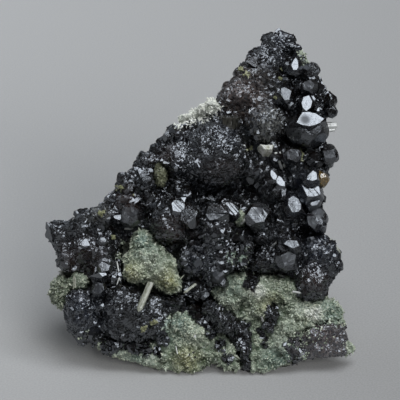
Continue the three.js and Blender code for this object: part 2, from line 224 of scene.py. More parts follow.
def blend_colours(tree, share, first, second):
    """The first colour, with a share of the second mixed in."""
    first, second = ((*colour, 1) if isinstance(colour, tuple) else colour for colour in (first, second))
    # sockets 6 and 7 are the two colours of a Mix node, and 2 is the colour that it gives
    return add_node(tree, "Mix", {0: share, 6: first, 7: second}, data_type="RGBA").outputs[2]


def maths(tree, operation, first, second=0.0):
    return add_node(tree, "Math", {0: first, 1: second}, operation=operation).outputs[0]


def dot_product(tree, place, direction):
    node = add_node(tree, "VectorMath", {0: place, 1: direction}, operation="DOT_PRODUCT")
    return node.outputs["Value"]


# %% Patches, which are places of the face where a finish changes
def patch(tree, across, up, out, radius_mm):
    """1 near a place of the leaning face and 0 away from it, with a soft edge."""
    ends = {0: object_place(tree), 1: on_face(across, up, out)}
    away = add_node(tree, "VectorMath", ends, operation="DISTANCE").outputs["Value"]
    return spread(tree, away, radius_mm * MM * 0.5, radius_mm * MM * 1.5, 1, 0)


def patches(tree, places):
    """Several patches together. A place is across, up, out and its radius in mm."""
    total = patch(tree, *places[0])
    for place in places[1:]:
        total = maths(tree, "MAXIMUM", total, patch(tree, *place))
    return total


# %% Floor, with painted light that makes it a little paler towards the far left
PAINTED_LIGHT_TOWARDS = (-0.7, 0.5, 0)
cloth, tree, shader = new_material("grey_cloth", Roughness=0.9, Specular_IOR_Level=0.1)
weave = spread(tree, noise(tree, 0.6, 2), 0.3, 0.7, 0.285, 0.34)
# painted light: the floor's colour grows paler towards the far left, as if more light fell there
paler = maths(tree, "ADD", dot_product(tree, object_place(tree), PAINTED_LIGHT_TOWARDS), weave)
tree.links.new(blend_colours(tree, paler, (0, 0, 0), (1, 1, 1)), shader.inputs["Base Color"])
bpy.ops.mesh.primitive_plane_add(size=4, location=(0, 0, 0))
floor = bpy.context.object
floor.name = "floor"
floor.data.materials.append(cloth)

# a low lamp in front that only the ground receives, so that it stays pale right up to the stone
ground = bpy.data.collections.new("ground")
ground.objects.link(floor)
low_lamp = soft_panel("low_ground_light", (0.38, -1.18, 0.42), size=0.6, watts=20)
low_lamp.light_linking.receiver_collection = ground
print("the floor is", floor.dimensions.x, "m wide")

# %% [markdown]
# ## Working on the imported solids
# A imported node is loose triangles. A copy of it is merged, remeshed to an even grid of small
# faces, smoothed, and then roughened by displacement. That keeps the place and size that the
# frame gives, and leaves nothing of the plain facets.


# %% Reading and moving corners
def numbers(items, name, width, kind=np.float32):
    """One property of many vertices or triangles as an array."""
    found = np.empty(len(items) * width, kind)
    items.foreach_get(name, found)
    return found.reshape(-1, width)


def corners_of(piece):
    return numbers(piece.data.vertices, "co", 3)


def move_corners(piece, corners):
    piece.data.vertices.foreach_set("co", corners.astype(np.float32).ravel())
    piece.data.update()


# %% Selecting, editing and modifiers
def select_only(piece):
    bpy.ops.object.select_all(action="DESELECT")
    piece.select_set(True)
    bpy.context.view_layer.objects.active = piece


@contextmanager
def editing():
    """Edit mode on the active piece, which starts with all of it selected."""
    bpy.ops.object.mode_set(mode="EDIT")
    bpy.ops.mesh.select_all(action="SELECT")
    yield
    bpy.ops.object.mode_set(mode="OBJECT")


def apply_modifier(piece, kind, **settings):
    modifier = piece.modifiers.new(kind.lower(), kind)
    for name, value in settings.items():
        setattr(modifier, name, value)
    select_only(piece)
    bpy.ops.object.modifier_apply(modifier=modifier.name)


def bevel_edges(piece, width_mm, angle_deg=25, segments=1):
    """Bevels the edges that are sharper than an angle."""
    apply_modifier(piece, "BEVEL", width=width_mm * MM, segments=segments, limit_method="ANGLE",
                   angle_limit=math.radians(angle_deg))


def join_pieces(pieces):
    """One piece of several, which keeps the place in the scene of the first."""
    select_only(pieces[0])
    for piece in pieces[1:]:
        piece.select_set(True)
    if len(pieces) > 1:
        bpy.ops.object.join()
    return pieces[0]


# %% Copies of nodes
def copy_of_node(node, name):
    """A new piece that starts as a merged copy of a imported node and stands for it."""
    piece = bpy.data.objects.new(name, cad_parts[node].data.copy())
    bpy.context.scene.collection.objects.link(piece)
    piece.data.materials.clear()
    select_only(piece)
    with editing():
        bpy.ops.mesh.remove_doubles(threshold=0.001 * MM)
    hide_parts(node)
    return piece


def finish_piece(piece, material):
    """Keeps a piece above the floor, and gives it its material and body."""
    corners = corners_of(piece)
    corners[:, 2] = np.maximum(corners[:, 2], 0)
    move_corners(piece, corners)
    piece.data.materials.clear()
    piece.data.materials.append(material)
    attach(piece, "root")


# %% Roughening a surface
def relief(name, kind, grain_mm):
    """A procedural texture for the Displace modifier."""
    texture = bpy.data.textures.new(name, kind)
    texture.noise_scale = grain_mm * MM
    return texture


LUMPS = relief("lumps", "CLOUDS", 3.2)
GRAINS = relief("grains", "CLOUDS", 0.9)
CELLS = relief("cells", "VORONOI", 2.4)
CLUMPS = relief("clumps", "CLOUDS", 1.7)
print("reliefs:", [texture.name for texture in bpy.data.textures])


def roughen(piece, texture, depth_mm):
    apply_modifier(piece, "DISPLACE", texture=texture, texture_coords="LOCAL",
                   strength=depth_mm * MM, mid_level=0.5)


def evened(piece, voxel_mm, smoothing):
    """Remeshes a piece to an even grid, and smooths it so many times."""
    apply_modifier(piece, "REMESH", mode="VOXEL", voxel_size=voxel_mm * MM)
    if smoothing:
        apply_modifier(piece, "SMOOTH", factor=0.5, iterations=smoothing)


def fill_creases(piece, reach_mm, voxel_mm, smoothing):
    """Swells a piece, joins what then touches, and shrinks it back."""
    evened(piece, voxel_mm, 2)
    apply_modifier(piece, "DISPLACE", strength=reach_mm * MM, mid_level=0)
    evened(piece, voxel_mm, 0)
    apply_modifier(piece, "DISPLACE", strength=-reach_mm * MM, mid_level=0)
    evened(piece, voxel_mm, smoothing)


# %% [markdown]
# ## Reading a surface
# Small crystals are planted on the bodies. For that, a surface is read into arrays, points are
# spread over it with about one in each small box of space, and points that face another mineral
# across a hair of a gap are dropped, because nothing shows there.


# %% Points spread over a surface
CANDIDATES_PER_BOX = 5


def points_over(piece, spacing_mm, seed):
    """Points and their normals, about one in each box of the given size."""
    mesh = piece.data
    mesh.calc_loop_triangles()
    corners = corners_of(piece).astype(float)
    a, b, c = corners[numbers(mesh.loop_triangles, "vertices", 3, np.int32)].transpose(1, 0, 2)
    cross = np.cross(b - a, c - a)
    area = np.linalg.norm(cross, axis=1) / 2
    random = np.random.default_rng(seed)
    count = int(CANDIDATES_PER_BOX * area.sum() / (spacing_mm * MM) ** 2)
    picked = random.choice(len(area), count, p=area / area.sum())
    u, v = random.random((2, count, 1))
    u, v = np.where(u + v > 1, 1 - u, u), np.where(u + v > 1, 1 - v, v)
    points = a[picked] + u * (b - a)[picked] + v * (c - a)[picked]
    normals = cross[picked] / (2 * area[picked])[:, None]
    box = np.floor(points / (spacing_mm * MM)).astype(int)
    first = np.unique(box, axis=0, return_index=True)[1]
    return points[first], normals[first]


# %% Points that no neighbour covers
def solid_of(nodes):
    """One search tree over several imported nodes, to ask how near their surface is."""
    corners, triangles = [], []
    for node in nodes:
        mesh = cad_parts[node].data
        mesh.calc_loop_triangles()
        start = len(corners)
        corners.extend(vertex.co.copy() for vertex in mesh.vertices)
        triangles.extend(tuple(start + i for i in face.vertices) for face in mesh.loop_triangles)
    return BVHTree.FromPolygons(corners, triangles)


def free_points(points, normals, neighbours, gap_mm):
    """Keeps the points that have no neighbour within the gap."""
    tree = solid_of(neighbours)
    keep = [tree.find_nearest(Vector(point), gap_mm * MM)[0] is None for point in points]
    keep = np.array(keep, bool)
    return points[keep], normals[keep]


# %% [markdown]
# ## One crystal of each habit
# Sphalerite grows as tetrahedra whose corners and edges are cut by smaller faces. Each habit is
# cut once from a block with the bisect operator, the way a lapidary would facet it. Druse is
# made of six-sided quartz points, cut from a prism. They stay at a few dozen faces, because each
# is copied thousands of times.

# %% Cutting a block by planes
TETRAHEDRON = [(1, 1, 1), (1, -1, -1), (-1, 1, -1), (-1, -1, 1)]
OTHER_TETRAHEDRON = [(-x, -y, -z) for x, y, z in TETRAHEDRON]
DODECAHEDRON = [(x, y, 0) for x in (-1, 1) for y in (-1, 1)]
DODECAHEDRON += [(x, 0, z) for x in (-1, 1) for z in (-1, 1)]
DODECAHEDRON += [(0, y, z) for y in (-1, 1) for z in (-1, 1)]


def new_solid(kind, **settings):
    """A cube, ico_sphere or cylinder that is the only thing selected."""
    bpy.ops.object.select_all(action="DESELECT")
    getattr(bpy.ops.mesh, f"primitive_{kind}_add")(**settings)
    return bpy.context.object


def cut_away(cuts):
    """Cuts the mesh in edit mode by planes. Each cut is (direction, distance from the origin)."""
    for direction, distance in cuts:
        normal = Vector(direction).normalized()
        bpy.ops.mesh.select_all(action="SELECT")
        bpy.ops.mesh.bisect(plane_co=normal * distance, plane_no=normal, use_fill=True, clear_outer=True)
    bpy.ops.mesh.select_all(action="SELECT")
    bpy.ops.mesh.remove_doubles(threshold=1e-6)
    bpy.ops.mesh.normals_make_consistent(inside=False)


def cut_crystal(cuts, size):
    piece = new_solid("cube", size=size)
    with editing():
        cut_away(cuts)
    return piece


def shape_of(piece):
    """The corners of a finished model crystal and its faces, after which the model is removed."""
    corners = corners_of(piece).astype(float)
    faces = [list(face.vertices) for face in piece.data.polygons]
    bpy.data.objects.remove(piece)
    return corners, faces


# %% The small habits
# the side of the cube that a crystal is cut from
SMALL_BLOCK, LARGE_BLOCK = 1.9, 2.6


def all_at(directions, distance):
    return [(direction, distance) for direction in directions]


SMALL_HABITS = [shape_of(cut_crystal(cuts, LARGE_BLOCK)) for cuts in (
    all_at(TETRAHEDRON, 0.62) + all_at(OTHER_TETRAHEDRON, 0.95),
    [((1, 1, 1), 0.3), ((-1, -1, -1), 0.45)] + all_at(TETRAHEDRON[1:], 0.75),
    all_at(TETRAHEDRON, 0.78) + all_at(OTHER_TETRAHEDRON, 0.9),
    all_at(DODECAHEDRON, 0.85),
)]
for title, (corners, faces) in zip(("tetrahedral", "tabular", "blocky", "twelve sided"), SMALL_HABITS):
    print(title, "crystal:", len(corners), "corners,", len(faces), "faces")


# %% Larger crystals with steps
def select_top_face(piece, direction):
    """Selects the face that looks most along a direction."""
    bpy.ops.mesh.select_all(action="DESELECT")
    bpy.ops.object.mode_set(mode="OBJECT")
    scores = [face.normal.dot(Vector(direction)) * face.area ** 0.3 for face in piece.data.polygons]
    piece.data.polygons[int(np.argmax(scores))].select = True
    bpy.ops.object.mode_set(mode="EDIT")


def stepped_crystal(cuts, steps):
    """A crystal with growth steps on some of its faces, each a direction, an inset and a rise."""
    piece = new_solid("cube", size=SMALL_BLOCK)
    with editing():
        cut_away(cuts)
        for direction, inset, rise in steps:
            select_top_face(piece, direction)
            bpy.ops.mesh.inset(thickness=inset)
            bpy.ops.mesh.extrude_region_move(
                TRANSFORM_OT_translate={"value": Vector(direction).normalized() * rise})
        bpy.ops.mesh.select_all(action="SELECT")
        bpy.ops.mesh.normals_make_consistent(inside=False)
    return shape_of(piece)


faceted = shape_of(cut_crystal(
    all_at(TETRAHEDRON, 0.72) + all_at(OTHER_TETRAHEDRON, 0.95) + all_at(DODECAHEDRON, 0.97), SMALL_BLOCK))
stepped = stepped_crystal(
    all_at(TETRAHEDRON, 0.78) + all_at(OTHER_TETRAHEDRON, 0.95),
    [((1, 1, 1), 0.12, 0.08), ((1, 1, 1), 0.14, 0.08), ((-1, 1, -1), 0.15, 0.1), ((0, 0, 1), 0.1, -0.1)])
hollow = stepped_crystal(
    all_at(DODECAHEDRON, 0.9) + all_at(TETRAHEDRON, 0.85),
    [((1, 1, 0), 0.12, -0.1), ((1, -1, 0), 0.14, 0.1), ((0, 1, 1), 0.1, 0.08), ((1, 1, 1), 0.1, -0.08)])
blocky = SMALL_HABITS[2]
LARGE_HABITS = [faceted, stepped, hollow, blocky]
for title, (corners, faces) in zip(("faceted", "stepped", "hollow", "blocky"), LARGE_HABITS):
    print(title, "crystal:", len(corners), "corners,", len(faces), "faces")


# %% A quartz point for the druse
def model_point(sides, shoulder):
    """A prism with a pyramid on top, one unit tall and one unit wide at its foot."""
    piece = new_solid("cylinder", vertices=sides, radius=0.5, depth=1, location=(0, 0, 0.5))
    bpy.ops.object.transform_apply(location=True)
    steep = 0.5 * math.cos(math.pi / sides) / (1 - shoulder)
    with editing():
        for side in range(sides):
            angle = 2 * math.pi * (side + 0.5) / sides + math.pi / 2
            slope = Vector((math.cos(angle), math.sin(angle), steep)).normalized()
            cut_away([(slope, slope.z)])
    return shape_of(piece)


QUARTZ_HABITS = [model_point(6, 0.5), model_point(5, 0.3), model_point(4, 0.4)]
BLUNT_ROD = model_point(6, 0.86)
for corners, faces in QUARTZ_HABITS + [BLUNT_ROD]:
    print("quartz point:", len(corners), "corners,", len(faces), "faces")


# %% [markdown]
# ## Planting
# The copies are joined into one mesh by array sums: every copy is the model crystal, stretched,
# turned and moved. Each crystal also gets a shade of its own, a height along it, and a small
# square of the texture map of its own.


# %% Turning copies
def turns_from(quaternions):
    """Rotation matrices from an array of unit quaternions."""
    w, x, y, z = (quaternions / np.linalg.norm(quaternions, axis=1)[:, None]).T
    return np.stack([
        np.stack([1 - 2 * (y * y + z * z), 2 * (x * y - w * z), 2 * (x * z + w * y)], 1),
        np.stack([2 * (x * y + w * z), 1 - 2 * (x * x + z * z), 2 * (y * z - w * x)], 1),
        np.stack([2 * (x * z - w * y), 2 * (y * z + w * x), 1 - 2 * (x * x + y * y)], 1),
    ], 1)


def any_turns(random, count):
    """Rotations of every kind."""
    return turns_from(random.normal(size=(count, 4)))


def slight_turns(random, count, spread_deg):
    """Rotations by a few degrees about any axis."""
    small = random.normal(0, math.radians(spread_deg) / 2, (count, 3))
    return turns_from(np.column_stack([np.ones(count), small]))


def turns_up(directions, random):
    """Rotations that bring Z to each direction, with any spin about it."""
    up = directions / np.linalg.norm(directions, axis=1)[:, None]
    side = np.cross(up, random.normal(size=up.shape))
    side /= np.linalg.norm(side, axis=1)[:, None]
    return np.stack([side, np.cross(up, side), up], 2)


# %% Joining the copies
BAKED_SQUARE = 0.42


def mesh_from(name, corners, loops, totals):
    """A mesh from its corners, the corners of all faces in a row, and how many each face has."""
    mesh = bpy.data.meshes.new(name)
    mesh.vertices.add(len(corners))
    mesh.vertices.foreach_set("co", corners.astype(np.float32).ravel())
    mesh.loops.add(len(loops))
    mesh.loops.foreach_set("vertex_index", loops.astype(np.int32))
    mesh.polygons.add(len(totals))
    mesh.polygons.foreach_set("loop_start", (np.cumsum(totals) - totals).astype(np.int32))
    mesh.update(calc_edges=True)
    return mesh


def plant(name, habits, kinds, points, turns, sizes, shade, rises=None):
    """One mesh with a copy of habits[kind] at each point. sizes is one number for each axis,
    shade is a number from 0 to 1, and rises says how far a point stands above the smooth bed."""
    all_corners, loops, totals, shades, heights, lifts, spots = [], [], [], [], [], [], []
    rises = np.zeros(len(points)) if rises is None else rises
    start = 0
    across = math.ceil(math.sqrt(len(points)))
    for kind, (corners, faces) in enumerate(habits):
        chosen = np.flatnonzero(kinds == kind)
        if not len(chosen):
            continue
        placed = np.einsum("nij,nkj->nki", turns[chosen], corners[None] * sizes[chosen, None])
        all_corners.append((placed + points[chosen, None]).reshape(-1, 3))
        firsts = start + len(corners) * np.arange(len(chosen))
        loops.append((firsts[:, None] + np.concatenate(faces)).ravel())
        totals.append(np.tile([len(face) for face in faces], len(chosen)))
        shades.append(np.repeat(shade[chosen], len(corners)))
        heights.append(np.tile(corners[:, 2], len(chosen)))
        lifts.append(np.repeat(rises[chosen], len(corners)))
        ring = np.concatenate([
            np.exp(2j * np.pi * np.arange(len(face)) / len(face)) for face in faces])
        cell = (chosen % across + 0.5) + 1j * (chosen // across + 0.5)
        spots.append((cell[:, None] + BAKED_SQUARE * ring).ravel() / across)
        start += len(corners) * len(chosen)
    corners, loops, totals, spots = (np.concatenate(part) for part in (all_corners, loops, totals, spots))
    mesh = mesh_from(name, corners, loops, totals)
    for title, values in (("shade", shades), ("height", heights), ("rise", lifts)):
        layer = mesh.attributes.new(title, "FLOAT", "POINT")
        layer.data.foreach_set("value", np.concatenate(values).astype(np.float32))
    layer = mesh.uv_layers.new(name="OFBake")
    layer.data.foreach_set("uv", np.column_stack([spots.real, spots.imag]).astype(np.float32).ravel())
    mesh.validate()
    mesh.shade_flat()
    piece = bpy.data.objects.new(name, mesh)
    bpy.context.scene.collection.objects.link(piece)
    print(f"{name}: {len(points)} crystals, {int((totals - 2).sum())} triangles")
    return piece


def plant_grains(name, points, sizes, random):
    """Blunt grains of the first three small habits, turned every way."""
    kinds = random.integers(0, 3, len(points))
    turns = any_turns(random, len(points))
    return plant(name, SMALL_HABITS[:3], kinds, points, turns, sizes, random.random(len(points)))


# %% [markdown]
# ## The finish of black sphalerite
# Iron-rich sphalerite is nearly black with a strong glassy to resinous lustre, because its
# refractive index is 2.37. So the colour is almost nothing, with a little red-brown in places,
# and the look comes from facets of uneven polish. Some facets are mirrors and others are dull,
# so the roughness is picked for each crystal from its own shade. Grey-green dust of chlorite
# dulls a few patches, which are listed as places on the face.

# %% Places where the crust looks different, as across, up, out and radius in mm
# grey-green dust
DUSTY_PLACES = [
    (20, 75, 9, 6), (13, 85, 3, 7), (38, 10, 6, 9), (-31, 50, 4, 4), (2, 75, 14, 3.5), (25, 80, 7, 3),
]
# red-brown tints, and places of painted blue-grey sheen
BROWN_PLACES = [
    (12, 84, 4, 8), (7, 57, 12, 6), (-37, 33, 5, 7), (37, 11, 6, 8), (-8, 42, 8, 5), (-12, 66, 6, 4),
    (-22, 52, 5, 4), (34, 28, 8, 4),
]
PAINTED_SHEEN_PLACES = [
    (11, 73, 14, 6), (-34, 19, 7, 7), (15, 76, 10, 4), (36, 38, 7, 6), (24, 99, 3, 4), (-1, 33, 9, 6),
    (-7, 10, 8, 5), (31, 55, 6, 6),
]
# places where the crystals are too small and worn to glitter
VELVET_PLACES = [
    (5, 68, 11, 8), (20, 92.5, 4, 4.5), (6.5, 18.5, 8, 4), (-37, 16, 6, 5), (34, 24, 8, 5),
    (-11, 44, 9, 5), (-38, 40, 3, 4), (11, 85, 5, 5), (15.6, 90.6, 4, 3), (20, 76, 10, 4),
    (-22, 17, 8, 6),
]
# a grey coat at the right-hand foot
GREY_PLACES = [(38, 8, 3, 8), (30, 10, 5, 4)]
# places where etching has dulled a mirror face
ETCHED_PLACES = [
    (31.2, 75.7, 8.6, 1.7), (17, 48.6, 10.8, 1.4), (35, 49.2, 6, 2.4), (5, 29.5, 8, 2.6), (-3, 36, 8, 2),
    (33, 39.3, 6, 2),
]
print("places with a finish of their own:", len(DUSTY_PLACES + BROWN_PLACES + PAINTED_SHEEN_PLACES)
      + len(VELVET_PLACES + GREY_PLACES + ETCHED_PLACES))


# %% The colour of sphalerite
NEAR_BLACK, RED_BROWN = (0.004, 0.0028, 0.0024), (0.025, 0.0155, 0.0125)
# the blue-grey is painted sheen, a reflection put into the colour; the others are colours of the crust
PAINTED_BLUE_SHEEN, OLIVE_STAIN, GREY_COAT = (0.011, 0.0135, 0.022), (0.022, 0.023, 0.014), (0.085, 0.08, 0.088)
GREEN_DUST, BROWN_DUST = (0.17, 0.168, 0.15), (0.13, 0.092, 0.078)
COOL_MIRROR = (0.88, 0.93, 1.0, 1)


def sphalerite_colour(tree, shade, dusty):
    """Nearly black, with brown, olive and grey places, painted blue-grey sheen in others, and the dust on
    top.
    """
    red = maths(tree, "ADD", noise(tree, 2.6), maths(tree, "MULTIPLY", shade, 0.2))
    red = maths(tree, "MULTIPLY", spread(tree, red, 0.6, 0.9), 0.35)
    in_brown_places = patches(tree, BROWN_PLACES)
    colour = blend_colours(tree, maths(tree, "MAXIMUM", red, in_brown_places), NEAR_BLACK, RED_BROWN)
    # painted sheen: in patches the colour is tinted blue-grey, as if it reflected cool light
    painted_sheen = maths(tree, "MULTIPLY", patches(tree, PAINTED_SHEEN_PLACES), spread(tree, noise(tree, 1.2), 0.35, 0.6))
    coated = spread(tree, noise(tree, 0.9), 0.3, 0.6, 0.3, 0.9)
    coated = maths(tree, "MULTIPLY", patches(tree, GREY_PLACES), coated)
    dust = blend_colours(tree, in_brown_places, GREEN_DUST, BROWN_DUST)
    for share, tint in (
            (painted_sheen, PAINTED_BLUE_SHEEN),
            (spread(tree, noise(tree, 1.6, 2), 0.58, 0.7, 0, 0.4), OLIVE_STAIN),
            (coated, GREY_COAT),
            (dusty, dust)):
        colour = blend_colours(tree, share, colour, tint)
    return colour


# %% The polish of sphalerite
def sphalerite_roughness(tree, shade, dusty, polished, dull, dull_share, velvet_share):
    """Facets of two polishes, with clouds, velvet and etched places. dull_share is how many of the
    crystals are dull."""
    mixed = maths(tree, "ADD", shade, spread(tree, noise(tree, 0.6), 0.3, 0.7, -0.3, 0.3))
    worn = spread(tree, mixed, dull_share - 0.1, dull_share + 0.1, dull, polished)
    clouded = spread(tree, noise(tree, 0.8, 5, 0.65), 0.48, 0.66, 0, 1.2)
    velvet = maths(tree, "MAXIMUM", spread(tree, noise(tree, 6, 2), 0.52, 0.62, 0, 0.9),
                   maths(tree, "MULTIPLY", patches(tree, VELVET_PLACES), 0.9))
    clouded = maths(tree, "MAXIMUM", clouded, maths(tree, "MULTIPLY", velvet, velvet_share))
    etched = maths(tree, "MAXIMUM", maths(tree, "MULTIPLY", patches(tree, ETCHED_PLACES), 1.9), clouded)
    worn = maths(tree, "MAXIMUM", worn, maths(tree, "MULTIPLY", etched, dull))
    return maths(tree, "MAXIMUM", worn, maths(tree, "MULTIPLY", dusty, 0.6))


def surface_bump(tree, shader, height, depth_mm):
    bump = add_node(tree, "Bump", {"Height": height, "Distance": depth_mm * MM})
    tree.links.new(bump.outputs["Normal"], shader.inputs["Normal"])


def attribute(tree, name):
    return add_node(tree, "Attribute", attribute_name=name).outputs["Fac"]


# %% Sphalerite materials
def sphalerite_finish(name, index, dust, bump_mm, **polish):
    material, tree, shader = new_material(name, IOR=index, Specular_Tint=COOL_MIRROR)
    shade = attribute(tree, "shade")
    dusty = maths(tree, "MULTIPLY", patches(tree, DUSTY_PLACES), spread(tree, noise(tree, 0.7), 0.45, 0.62))
    dusty = maths(tree, "MULTIPLY", dusty, dust)
    tree.links.new(sphalerite_colour(tree, shade, dusty), shader.inputs["Base Color"])
    tree.links.new(sphalerite_roughness(tree, shade, dusty, **polish), shader.inputs["Roughness"])
    fine_ripples = maths(tree, "MULTIPLY", noise(tree, 0.26, 3, 0.6), 0.34)
    surface_bump(tree, shader, maths(tree, "ADD", noise(tree, 1.7, 2), fine_ripples), bump_mm)
    return material


# the crust is etched and finely stepped, which leaves it duller than its true index would
SPHALERITE_INDEX, CRUST_INDEX = 2.37, 2.15
crust_finish = sphalerite_finish(
    "black_sphalerite_crust", index=CRUST_INDEX, dust=1.0, bump_mm=0.16,
    polished=0.05, dull=0.26, dull_share=0.35, velvet_share=1)
crystal_finish = sphalerite_finish(
    "black_sphalerite_crystal", index=SPHALERITE_INDEX, dust=0.1, bump_mm=0.22,
    polished=0.05, dull=0.34, dull_share=0.45, velvet_share=0)
for finish in (crust_finish, crystal_finish):
    print(finish.name, "has", len(finish.node_tree.nodes), "shader nodes")


# %% [markdown]
# ## Where each proud crystal stands
# The biggest crystals stand proud of the crust and are what the eye finds first. Each is one or
# two dark bodies with flat faces that flash. The table gives, for each packed crystal, its bodies
# as a place and three radii, and then its faces. A face is the way it looks, how far out its
# middle lies, its polish from 0 to 1, and its outline across and up the front. A striped face
# then has how many growth stripes it has (less than 0 for bright stripes on grey), and how they
# slant. Faces that look along FLASH mirror the soft box, and faces that look elsewhere stay grey
# or dark. Two of the crystals are worn round, so their body is cut from a ball.

# %% Ways that a face can look
FLASH = (0.16, 0.38, 0.91)
GLOW = (-0.06, 0.36, 0.93)
LEFT_GLOW = (-0.14, 0.3, 0.94)
DIM = (-0.2, 0.2, 0.96)
DARK = (0.05, -0.08, 0.995)
STRIPED = (0, 0.37, 0.93)
BARRED = (-0.05, 0.3, 0.95)
BACKSLANT = -0.65

